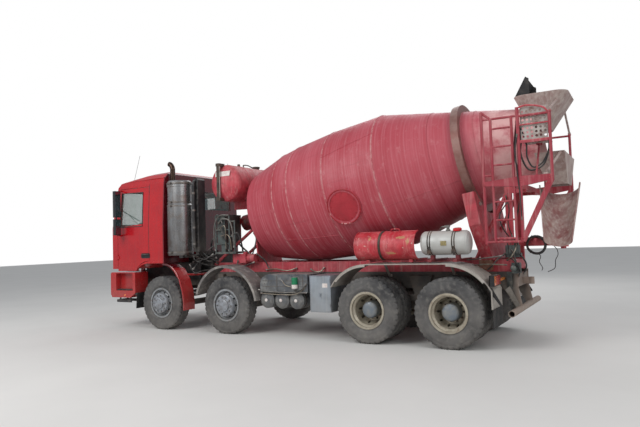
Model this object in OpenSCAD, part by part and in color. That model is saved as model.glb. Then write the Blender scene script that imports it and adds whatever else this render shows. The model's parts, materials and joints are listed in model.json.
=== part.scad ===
// Concrete mixer truck with four axles and a cab over the engine.
// Millimetres. +X is forward, +Y is left and +Z is up.
// The origin is on the ground under the middle of the truck's length and width.

/* [Overall] */
// Length from the front bumper to the rearmost edge of the hopper
overall_length = 9280; // [9200:10:9400]
// Front bumper to the first axle
front_overhang = 1480; // [1440:10:1520]
// First axle to the second axle
axle_gap_12 = 1700; // [1650:10:1750]
// Second axle to the third axle
axle_gap_23 = 2950; // [2900:10:3000]
// Third axle to the fourth axle
axle_gap_34 = 1350; // [1300:10:1400]

/* [Wheels] */
// Outer radius of a tyre
tyre_radius = 540; // [520:5:550]
// Width of a tyre
tyre_width = 305; // [290:5:315]
// Radius of the rim where the tyre's bead sits
bead_radius = 286; // [280:1:290]
// Half of the rim's width over its flanges
rim_half = 139; // [134:1:142]
// Middle of a front tyre from the truck's centre plane
front_track_half = 1072; // [1060:2:1090]
// Middle of an outer rear tyre from the truck's centre plane
rear_outer_half = 1085; // [1075:2:1095]
// Distance between the middles of twin tyres
twin_gap = 350; // [340:2:360]
// Kingpin from the truck's centre plane
kingpin_half = 930; // [915:5:940]
// Radius of a wheel spindle
spindle_radius = 45; // [40:1:50]
// Radius of a kingpin
kingpin_radius = 28; // [24:1:32]
// Gap between a shaft and its bearing
running_gap = 0.05; // [0.02:0.01:0.08]

/* [Chassis] */
// Outer half width of the chassis rails
rail_half = 430; // [420:5:440]
// Width of a rail's flange
rail_flange = 80; // [70:5:90]
// Height of a rail
rail_height = 280; // [260:10:300]
// Thickness of a rail's steel
rail_wall = 10; // [8:1:14]
// Top of the chassis rails above the ground
rail_top = 1120; // [1100:10:1140]
// Height of the mixer's subframe
subframe_height = 190; // [170:10:200]

/* [Cab] */
// Width of the cab at the doors
cab_width = 2400; // [2360:10:2440]
// Thickness of the doors and the cab's walls
cab_wall = 60; // [50:2:70]
// Gap between a door and its opening
door_gap = 8; // [6:1:12]

/* [Drum] */
// Tilt of the drum's axis
drum_tilt = 10; // [8:0.5:11]
// Height of the drum's axis where the drum starts to be widest
drum_height = 2610; // [2590:5:2640]
// Largest radius of the drum
drum_radius = 1195; // [1150:5:1210]
// Radius of the drum's mouth
mouth_radius = 520; // [480:10:540]
// Thickness of the drum's shell
drum_wall = 14; // [10:1:18]
// Outer radius of the ring that runs on the rollers
ring_radius = 925; // [900:5:940]
// Radius of a roller
roller_radius = 130; // [110:5:140]

/* [Tanks] */
// Radius of the water tank
tank_radius = 370; // [340:5:380]
// Half length of the water tank
tank_half = 880; // [840:10:920]
// Radius of the strapped tank
strapped_radius = 190; // [180:5:200]

/* [Hidden] */
$fn = 48;

red = "firebrick";
mixer_red = "indianred";
steel = "dimgray";

// Stations along the truck
x_front = overall_length / 2;
x_axle_1 = x_front - front_overhang;
x_axle_2 = x_axle_1 - axle_gap_12;
x_axle_3 = x_axle_2 - axle_gap_23;
x_axle_4 = x_axle_3 - axle_gap_34;
x_rear = -overall_length / 2;
x_frame_end = x_axle_4 - 880;
x_cab_rear = x_axle_1 - 85;
x_cab_front = x_front - 20;
x_drum = x_axle_3 + 650;
// Shifts of what stands by the first axle, the second axle and the truck's rear end
front_shift = x_axle_1 - 3160;
middle_shift = x_axle_2 - 1460;
rear_shift = x_axle_4 + 2840;
end_shift = x_rear + 4640;

z_axle = tyre_radius;
z_rail_bottom = rail_top - rail_height;
z_sub_top = rail_top + subframe_height;
cab_half = cab_width / 2;

// A box between two opposite corners
module block(low, high) {
    translate(low) cube(high - low);
}

// A straight round bar between two points
module bar(from, to, radius) {
    v = to - from;
    length = norm(v);
    translate(from)
        rotate([0, acos(v.z / length), atan2(v.y, v.x)])
            cylinder(r = radius, h = length);
}

// A cylinder along Y between two values of y
module axle_y(x, z, radius, y_low, y_high) {
    translate([x, y_low, z]) rotate([-90, 0, 0]) cylinder(r = radius, h = y_high - y_low);
}

// An outline in X and Z, carried from y_low to y_high
module side_plate(outline, y_low, y_high) {
    translate([0, y_high, 0]) rotate([90, 0, 0]) linear_extrude(y_high - y_low) polygon(outline);
}

// An outline in Y and Z, carried from x_low to x_high
module cross_plate(outline, x_low, x_high) {
    translate([x_low, 0, 0]) rotate([90, 0, 90]) linear_extrude(x_high - x_low) polygon(outline);
}

module along(shift) {
    translate([shift, 0, 0]) children();
}

// A flat bar in X and Z between two points, as wide as twice its half width
module strap(from, to, half, y_low, y_high) {
    n = half * [from[1] - to[1], to[0] - from[0]] / norm(to - from);
    side_plate([from + n, from - n, to - n, to + n], y_low, y_high);
}

module both_sides() {
    children();
    mirror([0, 1, 0]) children();
}

// Points along an arc
function arc(x, z, radius, from, to, steps) =
    [for (i = [0:steps]) let (a = from + (to - from) * i / steps) [x + radius * cos(a), z + radius * sin(a)]];

// A cylinder along the drum's axis, from one station to another
module drum_place() {
    translate([x_drum, 0, drum_height]) rotate([0, drum_tilt - 90, 0]) children();
}

// Wheels. A wheel's profile is drawn as [radius, distance outwards from the tyre's middle].
module wheel_place(x, y) {
    translate([x, y, z_axle]) rotate([-90, 0, 0]) children();
}

module tyre_ring(middle) {
    h = tyre_width / 2;
    r = tyre_radius;
    translate([0, 0, middle]) rotate_extrude($fn = 96) polygon([
        [bead_radius, -h + 24], [bead_radius + 34, -h + 24], [bead_radius + 60, -h + 8],
        [r - 150, -h], [r - 70, -h + 4], [r - 22, -h + 16], [r, -h + 34],
        [r, h - 34], [r - 22, h - 16], [r - 70, h - 4], [r - 150, h],
        [bead_radius + 60, h - 8], [bead_radius + 34, h - 24], [bead_radius, h - 24]]);
}

// The rolled rim that carries a tyre, open on both sides
module rim_ring(middle) {
    w = rim_half;
    b = bead_radius;
    translate([0, 0, middle]) rotate_extrude($fn = 96) polygon([
        [b + 18, -w], [b + 18, -w + 8], [b, -w + 10], [b, -w + 44], [b - 32, -w + 70],
        [b - 32, w - 80], [b, w - 50], [b, w - 10], [b + 18, w - 8], [b + 18, w],
        [b - 14, w], [b - 14, w - 46], [b - 44, w - 74], [b - 44, -w + 64], [b - 14, -w + 38], [b - 14, -w]]);
}

module hub_holes(radius, hole, low, high) {
    for (i = [0:9])
        rotate([0, 0, 36 * i]) translate([radius, 0, low]) cylinder(r = hole, h = high - low, $fn = 24);
}

module front_rim() {
    b = bead_radius;
    rim_ring(0);
    difference() {
        rotate_extrude($fn = 96) polygon([
            [b - 43, 30], [b - 43, 62], [b - 72, 108], [b - 96, 124], [168, 132], [104, 132],
            [96, 142], [60, 146], [0, 146], [0, 128], [spindle_radius + running_gap, 128],
            [spindle_radius + running_gap, -20], [90, -20], [96, 60], [104, 116], [168, 116],
            [b - 100, 108], [b - 84, 92]]);
        hub_holes(b - 78, 20, 60, 140);
    }
    rotate_extrude($fn = 72) polygon([
        [92, 20], [200, 20], [200, -50], [212, -50], [212, 34], [92, 34]]);
}

module twin_rims() {
    b = bead_radius;
    g = twin_gap / 2;
    rim_ring(g);
    rim_ring(-g);
    difference() {
        rotate_extrude($fn = 96) polygon([
            [b - 43, 112], [b - 43, 140], [b - 70, 60], [b - 92, 14], [170, 8],
            [140, 8], [126, 40], [120, 150], [104, 200], [60, 212], [0, 212], [0, 190],
            [spindle_radius + running_gap, 190], [spindle_radius + running_gap, -190], [96, -190],
            [104, -30], [150, -8], [170, -8], [b - 92, -14], [b - 70, -60], [b - 43, -140], [b - 43, -112],
            [b - 58, -50], [b - 80, -2], [b - 80, 2], [b - 58, 50]]);
        hub_holes(b - 62, 18, -120, 120);
    }
    rotate_extrude($fn = 72) polygon([
        [100, -70], [196, -70], [196, -200], [208, -200], [208, -56], [100, -56]]);
}

// Pins that the cab tilts on
tilt_x = x_front - 140;
tilt_z = 1060;
pivot_radius = 25;

// Steering
arm_low = z_axle - 160;
arm_high = z_axle + 160;
boss_half = 90;

module knuckle(x) {
    y = kingpin_half;
    color(steel) {
        translate([x, y, arm_low - 10]) cylinder(r = kingpin_radius, h = arm_high - arm_low + 20);
        for (z = [arm_low, z_axle + boss_half + 5])
            translate([x, y, z]) cylinder(r = 52, h = arm_high - z_axle - boss_half - 5);
        block([x - 50, y + 40, arm_low], [x + 50, y + 84, z_axle - boss_half - 5]);
        block([x - 50, y + 40, z_axle + boss_half + 5], [x + 50, y + 84, arm_high]);
        block([x - 50, y + 66, arm_low], [x + 50, y + 84, arm_high]);
        axle_y(x, z_axle, 188, y + 72, y + 84);
        axle_y(x, z_axle, spindle_radius, y + 80, front_track_half + 124);
        block([x - 170, y - 20, arm_low - 5], [x, y + 20, arm_low + 20]);
    }
}

module front_axle(x) {
    beam_low = z_axle - 130;
    beam_high = z_axle - 20;
    spring_low = z_axle + 60;
    difference() {
        union() {
            block([x - 55, -kingpin_half + 60, beam_low], [x + 55, kingpin_half - 60, beam_high]);
            for (side = [-1, 1]) {
                translate([x, side * kingpin_half, z_axle - boss_half]) cylinder(r = 60, h = 2 * boss_half);
                block([x - 50, side > 0 ? kingpin_half - 70 : -kingpin_half, z_axle - boss_half],
                    [x + 50, side > 0 ? kingpin_half : -kingpin_half + 70, z_axle + boss_half - 40]);
            }
        }
        for (side = [-1, 1])
            translate([x, side * kingpin_half, 0])
                cylinder(r = kingpin_radius + running_gap, h = 2 * z_axle);
    }
    both_sides() {
        block([x - 90, rail_half + 5, beam_high], [x + 90, rail_half + 95, spring_low]);
        leaf_pack(x, 700, spring_low, 90, 130);
        for (end = [-1, 1])
            side_plate([[x + end * 700 - 45, spring_low + 100], [x + end * 700 + 45, spring_low + 100],
                [x + end * 700 + 70, rail_top - 40], [x + end * 700 - 70, rail_top - 40]],
                rail_half, rail_half + 90);
    }
}

// A curved pack of leaves, thick in the middle
module leaf_pack(x, half, z_middle, thick, rise) {
    n = 8;
    top = [for (i = [-n:n]) let (t = i / n) [x + half * t, z_middle + rise * t * t + thick - (thick - 26) * abs(t)]];
    low = [for (i = [n:-1:-n]) let (t = i / n) [x + half * t, z_middle + rise * t * t]];
    side_plate(concat(low, top), rail_half + 10, rail_half + 90);
}

module front_axles() {
    color(steel) {
        front_axle(x_axle_1);
        front_axle(x_axle_2);
    }
}

module rear_axles() {
    tube = 78;
    spindle_end = rear_outer_half + 10;
    saddle = z_axle + tube;
    x_mid = (x_axle_3 + x_axle_4) / 2;
    color(steel) {
        for (x = [x_axle_3, x_axle_4]) {
            axle_y(x, z_axle, tube, -690, 690);
            axle_y(x, z_axle, spindle_radius, -spindle_end, spindle_end);
            translate([x - 130, 0, z_axle]) rotate([0, 90, 0]) cylinder(r = 215, h = 260);
            translate([x + 100, 0, z_axle + 40]) rotate([0, 90, 0]) cylinder(r1 = 150, r2 = 75, h = 230);
            both_sides() {
                axle_y(x, z_axle, 190, 674, 688);
                block([x - 70, rail_half + 10, z_axle], [x + 70, rail_half + 90, saddle + 12]);
            }
        }
        bar([x_axle_4 + 300, 0, z_axle + 40], [x_axle_3 - 100, 0, z_axle + 60], 55);
        bar([x_axle_3 + 300, 0, z_axle + 40], [x_axle_2 + 430, 0, 900], 60);
        both_sides() {
            side_plate([[x_axle_4 - 110, saddle + 12], [x_axle_3 + 110, saddle + 12],
                [x_axle_3 + 110, saddle + 36], [x_mid + 160, saddle + 130], [x_mid - 160, saddle + 130],
                [x_axle_4 - 110, saddle + 36]], rail_half + 10, rail_half + 90);
            side_plate([[x_mid - 110, saddle + 130], [x_mid + 110, saddle + 130],
                [x_mid + 200, rail_top - 60], [x_mid - 200, rail_top - 60]], rail_half, rail_half + 90);
        }
    }
}

// Chassis
module chassis_frame() {
    x_end = x_frame_end;
    x_nose = x_cab_front - 100;
    color(steel) {
        both_sides() cross_plate([
            [rail_half, z_rail_bottom], [rail_half, rail_top], [rail_half - rail_flange, rail_top],
            [rail_half - rail_flange, rail_top - rail_wall], [rail_half - rail_wall, rail_top - rail_wall],
            [rail_half - rail_wall, z_rail_bottom + rail_wall],
            [rail_half - rail_flange, z_rail_bottom + rail_wall], [rail_half - rail_flange, z_rail_bottom]],
            x_end, x_nose);
        for (x = [900, 0, -900, x_axle_3 - 675, x_end + 12])
            block([x, -rail_half + rail_wall, z_rail_bottom + 40], [x + 70, rail_half - rail_wall, rail_top - 40]);
        block([x_nose - 80, -rail_half + rail_wall, z_rail_bottom + 20],
            [x_nose, rail_half - rail_wall, rail_top - 20]);
        tow_eye(x_nose + 30, z_rail_bottom + 60, x_nose - 20);
        tow_eye(x_end - 120, z_rail_bottom + 60, x_end + 40);
        underrun(x_end);
        both_sides() axle_y(tilt_x, tilt_z, pivot_radius, rail_half - 5, rail_half + 90);
    }
}

// An upright eye for a towing pin, on a lug that runs into the frame's end at x_root
module tow_eye(x, z, x_root) {
    difference() {
        union() {
            translate([x, 0, z]) cylinder(r = 45, h = 110);
            block([min(x, x_root), -38, z + 5], [max(x, x_root), 38, z + 105]);
        }
        translate([x, 0, z - 1]) cylinder(r = 21, h = 112);
    }
}

// The round bar behind the last axle, on its two plates
module underrun(x_end) {
    x_bar = x_end - 20;
    z_bar = 550;
    difference() {
        union() {
            axle_y(x_bar, z_bar, 50, -1100, 1100);
            both_sides() side_plate([[x_bar - 40, z_bar], [x_bar + 60, z_bar - 20],
                [x_bar + 260, z_rail_bottom + 60], [x_bar + 30, z_rail_bottom + 60]], rail_half, rail_half + 20);
        }
        both_sides() axle_y(x_bar, z_bar, 42, rail_half + 60, 1110);
    }
}

module engine() {
    color("gray") along(front_shift) {
        block([2560, -330, 760], [3850, 330, 1480]);
        block([1900, -220, 760], [2560, 220, 1100]);
        both_sides() for (x = [2750, 3500])
            block([x, 320, 950], [x + 120, rail_half - rail_wall, 1020]);
    }
}

// Mixer's frame
s_ring = 2200;
cradle_gap = 75;
roller_angle = 38;
roller_distance = ring_radius + roller_radius + 0.3;
s_drive = -2315;

module mixer_frame() {
    inner = rail_half - rail_flange;
    x_back = x_frame_end + 40;
    x_beam = x_back - 220;
    x_subframe = x_axle_2 + 940;
    x_pump = x_axle_2 - 230;
    color(mixer_red) {
        both_sides() {
            block([x_back, inner, rail_top], [x_subframe, rail_half, z_sub_top]);
            bar([x_subframe - 60, rail_half - 40, z_sub_top + 10], [x_drum + 2270, rail_half - 60, 1960], 32);
            block([x_back, inner, z_sub_top], [x_back + 100, rail_half, 2440]);
            block([x_beam, inner, 2340], [x_back + 100, rail_half, 2440]);
            bar([x_back + 60, inner + 40, 2380], [-3080, inner + 40, z_sub_top], 30);
            block([x_drum + 2280, 270, 2400], [tank_x + 100, 330, 2460]);
            difference() {
                block([tank_x - 150, 270, 2400], [tank_x + 150, 330, 2640]);
                axle_y(tank_x, tank_z, tank_radius, 0, tank_half);
            }
        }
        for (x = [x_subframe - 100, x_axle_2 - 460, x_axle_3 + 890, x_axle_3 - 410, x_back])
            block([x, -inner, rail_top + 20], [x + 100, inner, z_sub_top - 20]);
        intersection() {
            drum_place() translate([0, 0, s_drive]) linear_extrude(30) difference() {
                polygon([[-1100, -rail_half], [-1100, rail_half], [-200, 330], [250, 300],
                    [250, -300], [-200, -330]]);
                circle(r = 230);
            }
            block([x_drum + 840, -700, z_sub_top], [x_drum + 3840, 700, 3000]);
        }
        block([x_pump + 180, rail_half - 10, z_sub_top], [x_pump + 500, 640, 1490]);
        translate([x_pump, 535, 1400]) rotate([0, 90, 0]) cylinder(r = 85, h = 200);
        translate([x_pump + 245, 560, 1480]) cylinder(r = 45, h = 50);
        intersection() {
            drum_place() for (s = [s_ring - cradle_gap - 16, s_ring + cradle_gap])
                translate([0, 0, s]) linear_extrude(16) difference() {
                    polygon([[-2000, -rail_half], [-2000, rail_half], [-1150, 860], [-640, 860],
                        [-640, -860], [-1150, -860]]);
                    circle(r = ring_radius + 35, $fn = 96);
                    for (side = [-1, 1]) rotate([0, 0, side * roller_angle])
                        translate([-roller_distance, 0]) circle(r = 30 + running_gap);
                }
            block([x_drum - 4160, -900, z_sub_top], [x_drum + 840, 900, 4000]);
        }
        intersection() {
            drum_place() translate([0, 0, s_ring - cradle_gap - 1]) linear_extrude(2 * cradle_gap + 2)
                for (side = [-1, 1])
                    polygon([[-2000, side * rail_half], [-1150, side * 860], [-640, side * 860],
                        [-640, side * 844], [-1142, side * 844], [-2000, side * (rail_half - 16)]]);
            block([x_drum - 4160, -900, z_sub_top], [x_drum + 840, 900, 4000]);
        }
        block([x_beam, -1125, 2380], [x_beam + 80, 1125, 2460]);
        difference() {
            union() {
                block([x_swing, -60, 1500], [x_back + 20, 60, 1640]);
                translate([x_swing, 0, 1480]) cylinder(r = 75, h = 180);
                block([x_back, -inner - 10, 1500], [x_back + 100, inner + 10, 1640]);
            }
            translate([x_swing, 0, 1400]) cylinder(r = 40 + running_gap, h = 400);
        }
        axle_y(coil_x, coil_peg_z, coil_peg_radius, 50, coil_y + 45);
        axle_y(coil_x, coil_peg_z, 22, coil_y + 38, coil_y + 46);
    }
}

module roller(side) {
    color("gray") drum_place() rotate([0, 0, side * roller_angle])
        translate([-roller_distance, 0, s_ring - cradle_gap - 40]) {
            cylinder(r = 30, h = 2 * cradle_gap + 80);
            translate([0, 0, 50]) cylinder(r = roller_radius, h = 2 * cradle_gap - 20);
        }
}

// Drum. The table holds the outer radius at stations along the axis, from front to rear.
drum_front = -2140;
cone_start = 870;
drum_end = 3300;
drum_profile = [
    [drum_front, 400], [-2085, 715], [-2000, 895], [-1260, 1090], [-900, 1140], [-110, drum_radius],
    [cone_start, drum_radius], [drum_end, mouth_radius]];

module drum() {
    outer = [for (p = drum_profile) [p[1], p[0]]];
    inner = [for (i = [len(drum_profile) - 1:-1:0]) let (p = drum_profile[i])
        [p[1] - drum_wall, p[0] + (i < 3 ? drum_wall : 0)]];
    color(mixer_red) drum_place() {
        rotate_extrude($fn = 128) polygon(concat([[0, drum_front]], outer,
            [[mouth_radius - drum_wall, drum_end]], inner, [[0, drum_front + drum_wall]]));
        translate([0, 0, drum_front - 60]) cylinder(r = 200, h = 61);
        translate([0, 0, drum_front - 160]) cylinder(r = 60, h = 110);
        difference() {
            rotate([0, 0, 109]) translate([drum_radius - 65, 0, 190]) rotate([0, 90, 0]) difference() {
                cylinder(r = 315, h = 82);
                translate([0, 0, 72]) cylinder(r = 262, h = 20);
            }
            translate([0, 0, -200]) cylinder(r = drum_radius - drum_wall, h = 800, $fn = 128);
        }
    }
}

function cone_radius(s) =
    drum_radius + (s - cone_start) * (mouth_radius - drum_radius) / (drum_end - cone_start);

// One mixing spiral, from the rear cone to the mouth. It lies against the drum's shell.
module spiral(start) {
    steps = 44;
    low = 2240;
    depth = 150;
    sections = [for (i = [0:steps]) let (a = start + 330 * i / steps, s = low + 1040 * i / steps)
        for (corner = [[0, -5], [depth, -5], [depth, 5], [0, 5]])
            let (r = cone_radius(s + corner[1]) - drum_wall - 0.5 - corner[0])
                [r * cos(a), r * sin(a), s + corner[1]]];
    last = 4 * steps;
    polyhedron(sections, concat([[0, 1, 2], [0, 2, 3], [last, last + 2, last + 1], [last, last + 3, last + 2]],
        [for (i = [0:steps - 1], k = [0:3], half = [0, 1]) let (m = (k + 1) % 4, a = 4 * i, b = 4 * i + 4)
            half == 0 ? [a + k, b + k, b + m] : [a + k, b + m, a + m]]));
}

module drum_blades() {
    color("slategray") drum_place() for (start = [0, 180]) spiral(start);
}

module drum_ring() {
    low = s_ring - 60;
    high = s_ring + 60;
    color("sienna") drum_place() rotate_extrude($fn = 128) polygon([
        [cone_radius(low) + 0.03, low], [ring_radius, low], [ring_radius, high], [cone_radius(high) + 0.03, high]]);
}

module drum_drive() {
    color("slategray") {
        difference() {
            drum_place() {
                translate([0, 0, drum_front - 66 - 250]) cylinder(r = 230, h = 250);
                translate([0, 0, drum_front - 66 - 560]) cylinder(r = 165, h = 320);
            }
            drum_place() translate([0, 0, drum_front - 170]) cylinder(r = 60 + running_gap, h = 200);
        }
        along(x_drum + 840) {
            block([1850, 200, 1720], [2050, 720, 2290]);
            block([1850, rail_half - rail_flange, z_sub_top], [1950, rail_half, 1540]);
            block([1850, rail_half - rail_flange, 1500], [1950, 500, 1540]);
            block([1560, 440, 1500], [2090, 760, 1540]);
            block([1850, 480, 1530], [1950, 720, 1740]);
            for (x = [1585, 1720, 2070]) bar([x, 742, 1530], [x, 742, x > 1700 ? 2280 : 2160], 16);
            for (z = [1700, 1980, 2265]) bar([1720, 742, z], [2070, 742, z], 14);
            for (z = [1840, 2145]) bar([1585, 742, z], [1720, 742, z], 14);
        }
    }
}

// Water tank across the truck, with dished ends
tank_x = x_axle_2 + 300;
tank_z = 2915;
tank_dome = 140;

module water_tank() {
    r = tank_radius;
    color(red) translate([tank_x, 0, tank_z]) both_sides() rotate([-90, 0, 0]) rotate_extrude($fn = 96)
        polygon(concat([[0, 0], [r, 0], [r, tank_half - tank_dome]],
            [for (a = [15:15:75]) [r * cos(a), tank_half + tank_dome * (sin(a) - 1)]], [[0, tank_half]]));
}

module exhaust() {
    color("silver") along(front_shift) {
        translate([2810, 985, 1500]) rotate_extrude($fn = 96) polygon([[0, 0], [255, 0], [258, 12], [258, 1030],
            [246, 1045], [246, 1395], [257, 1400], [257, 1440], [246, 1445], [246, 1500], [225, 1525], [0, 1530]]);
        translate([2980, 1000, 3000]) cylinder(r = 52, h = 281);
        translate([3110, 1000, 3280]) rotate([90, 0, 180]) rotate_extrude(angle = 72) translate([130, 0]) circle(r = 52);
        block([2760, rail_half, 1440], [2860, 985, 1501]);
        block([2760, rail_half, 960], [2860, rail_half + 40, 1450]);
    }
}

module air_intake() {
    color("black") along(front_shift) {
        side_plate([[2360, 1560], [2500, 1560], [2500, 3020], [2470, 3060], [2390, 3060], [2360, 3020]], 720, 920);
        bar([2440, 975, 1640], [2440, 975, 2930], 32);
        for (end = [[2930, 90], [1640, 180]])
            translate([2440, 905, end[0]]) rotate([end[1], 0, 0]) rotate([0, 90, 0])
                rotate_extrude(angle = 90) translate([70, 0]) circle(r = 32);
        block([2400, rail_half, rail_top - 35], [2470, rail_half + 50, 1570]);
        block([2400, rail_half, 1500], [2470, 900, 1570]);
    }
}

// Fenders and mudguards
module arch_band(x, radius, from, to, y_low, y_high, wall) {
    side_plate(concat(arc(x, z_axle, radius, from, to, 16), arc(x, z_axle, radius - wall, to, from, 16)),
        y_low, y_high);
}

module mudguards() {
    r = 750;
    w = 14;
    y_low = 600;
    y_high = 1240;
    color("lightgray") both_sides() {
        side_plate(concat(
            arc(x_axle_3, z_axle, r, 30, 90, 8), arc(x_axle_4, z_axle, r, 90, 152, 8),
            arc(x_axle_4, z_axle, r - w, 152, 90, 8), arc(x_axle_3, z_axle, r - w, 90, 30, 8)), y_low, y_high);
        block([x_axle_4 - 668, y_low + 20, 620], [x_axle_4 - 654, y_high, z_axle + 352]);
        arch_band(x_axle_2, 745, 86, 172, 860, y_high, w);
        arch_band(x_axle_2, 757, 15, 97, 860, y_high, w);
        arch_band(x_axle_2, 745, 88, 172, y_high - 12, y_high, 45);
        arch_band(x_axle_2, 757, 15, 96, y_high - 12, y_high, 45);
        arch_band(x_axle_3, r, 40, 90, y_high - 12, y_high, 45);
        arch_band(x_axle_4, r, 90, 140, y_high - 12, y_high, 45);
        for (x = [x_axle_3 - 100, x_axle_4 + 100]) {
            block([x - 35, rail_half, 1000], [x + 35, rail_half + 24, 1080]);
            bar([x, rail_half + 18, 1040], [x, y_low + 60, z_axle + r - 24], 22);
        }
        for (x = [x_axle_2 - 120, x_axle_2 + 120]) {
            block([x - 35, rail_half, 1020], [x + 35, rail_half + 24, 1100]);
            bar([x, rail_half + 16, 1060], [x, y_high - 300, z_axle + (x > x_axle_2 ? 715 : 705)], 22);
        }
    }
}

lamp_deep = 20;

module front_bumper() {
    low = 630;
    high = 1165;
    y_side = 1250;
    x_step = x_axle_1 + 720;
    color(red) {
        difference() {
            side_plate([[x_step, low + 100], [x_step, high], [x_front - 30, high], [x_front, high - 30],
                [x_front, low + 60], [x_front - 40, low], [x_step + 160, low]], -y_side, y_side);
            block([x_step - 10, -y_side + 350, low - 10], [x_front - 60, y_side - 350, high + 10]);
            block([x_front - 100, -200, 800], [x_front + 10, 200, 1040]);
            both_sides() {
                block([x_front - lamp_deep, 799.7, 759.7], [x_front + 10, 1150.3, 900.3]);
                block([x_front - 80, rail_half + 5, 1030], [x_front + 10, rail_half + 65, high + 10]);
                block([x_step + 80, 1120, low + 150], [x_front - 170, y_side + 10, high - 20]);
            }
        }
        both_sides() block([x_cab_front - 180, rail_half, 880], [x_cab_front - 120, 905, 980]);
        both_sides() fender_quarter();
    }
}

// The strip behind the first wheel
module fender_quarter() {
    outer = [[3070, 1335], [2900, 1310], [2740, 1210], [2610, 1020], [2530, 780], [2500, 560], [2500, 410]];
    inner = [for (i = [len(outer) - 1:-1:0]) outer[i] + [20, i < 3 ? -20 : 0]];
    along(front_shift) {
        side_plate(concat(outer, inner), 940, 1250);
        block([2585, rail_half, 1045], [2655, rail_half + 24, 1115]);
        bar([2620, rail_half + 14, 1080], [2672, 960, 1098], 22);
    }
}

module lamps() {
    color("orange") both_sides() {
        block([x_front - lamp_deep, 800, 760], [x_front - 0.3, 1150, 900]);
        block([x_frame_end + 180, 850, 960], [x_frame_end + 240, 1220, 1100]);
        block([x_frame_end + 190, rail_half, 1000], [x_frame_end + 230, 860, 1040]);
    }
}

module side_box() {
    color("silver") along(middle_shift) {
        block([-820, 620, 480], [-410, 1200, 1100]);
        block([-700, rail_half, 880], [-600, 620, 980]);
    }
}

// A cylindrical tank with dished ends, standing on its end
module air_tank() {
    rotate_extrude($fn = 64) polygon([[0, 0], [60, 4], [110, 16], [150, 40], [150, 470], [110, 494], [60, 506], [0, 510]]);
}

// Half outline of the strapped tank: dished ends, two straps and a seam
strapped_profile = let (r = strapped_radius, d = 780) [
    [0, 0], [r - 80, 8], [r - 25, 30], [r - 4, 62], [r - 4, 180], [r, 180], [r, 240], [r - 4, 240], [r - 4, 580],
    [r, 580], [r, 640], [r - 4, 640], [r - 4, d - 62], [r - 25, d - 30], [r - 80, d - 8], [0, d]];

module tanks() {
    color("darkslategray") {
        along(middle_shift) {
            for (x = [-80, 240, 560]) translate([x, 640, 655]) rotate([-90, 0, 0]) air_tank();
            side_plate([[-340, 800], [680, 800], [680, 960], [640, 1060], [520, 1120], [-340, 1120]], 650, 1160);
            translate([-85, 1180, 860]) cylinder(r = 52, h = 215);
            block([100, rail_half, 860], [200, 660, 960]);
            side_plate([[-700, 520], [-660, 480], [660, 480], [700, 520], [700, 1040], [660, 1080],
                [-660, 1080], [-700, 1040]], -1200, -620);
            block([-200, -625, 860], [-100, -rail_half, 960]);
            block([300, -625, 860], [400, -rail_half, 960]);
        }
        along(rear_shift) {
            translate([-3180, 1000, 1600]) rotate([0, 90, 0]) rotate_extrude($fn = 72) polygon(strapped_profile);
            for (x = [-3000, -2600]) {
                block([x, rail_half - rail_flange, z_sub_top], [x + 60, 1180, z_sub_top + 40]);
                block([x, 960, z_sub_top + 40], [x + 60, 1040, 1440]);
            }
        }
    }
}

module spare_chutes() {
    color(red) along(rear_shift) {
        translate([-2350, 1000, 1580]) rotate([0, 90, 0]) difference() {
            union() {
                cylinder(r = 226, h = 1050, $fn = 64);
                for (s = [0, 625, 1026]) translate([0, 0, s]) cylinder(r = 232, h = 24, $fn = 64);
            }
            translate([0, 0, -1]) cylinder(r = 220, h = 1052, $fn = 64);
            translate([-400, -800, -1]) cube([800, 800, 1052]);
        }
        for (x = [-2250, -1500])
            block([x, rail_half - rail_flange, z_sub_top], [x + 60, 1060, z_sub_top + 45]);
    }
}

// Ladder and posts on the left, posts on both sides
ladder_y = 1150;
x_post = x_rear + 680;
x_last_post = x_rear + 250;
x_front_post = x_rear + 1190;
platform_z = 3020;

module rear_ladder() {
    y = ladder_y;
    x_stiles = [x_rear + 1060, x_rear + 765];
    color(mixer_red) {
        both_sides() {
            bar([x_post, y, 1590], [x_post, y, 3510], 25);
            strap([x_post, 1600], [x_last_post + 10, 2450], 36, y - 24, y + 24);
            bar([x_last_post, y, 2430], [x_last_post, y, 3400], 22);
            side_plate([[x_last_post - 10, 2440], [x_post, 2370], [x_front_post, 2410], [x_front_post, 2470],
                [x_post, 2520], [x_last_post - 10, 2520]], y - 24, y + 24);
            bar([x_post, y, 3380], [x_last_post, y, 3380], 18);
            block([x_last_post - 26, y - 26, 3388], [x_last_post + 20, y + 25, 3410]);
        }
        bar([x_front_post, y, 1560], [x_front_post, y, 3510], 22);
        for (x = x_stiles) bar([x, y, 1590], [x, y, 3400], 20);
        for (z = [1640:267:3300]) bar([x_stiles[0], y, z], [x_stiles[1], y, z], 14);
        bar([x_front_post, y, 3500], [x_stiles[0], y, 3390], 18);
        for (z = [1590, 3390]) bar([x_stiles[0], y, z], [x_post, y, z], 17);
        bar([x_front_post, y, 1590], [x_stiles[0], y, 1590], 17);
        for (z = [2560, 3390]) bar([x_front_post, y, z], [x_stiles[0], y, z], 15);
        block([x_rear + 960, rail_half, 1600], [x_rear + 1000, y, 1660]);
        block([x_front_post - 20, rail_half, 1600], [x_front_post + 20, y, 1650]);
        block([x_last_post, y - 30, platform_z - 30], [x_post, y + 10, platform_z]);
        bar([x_rear + 460, y, 2500], [x_rear + 460, 750, platform_z - 10], 15);
        block([x_rear + 420, 720, platform_z - 24], [x_rear + 500, 780, platform_z]);
    }
}

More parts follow.
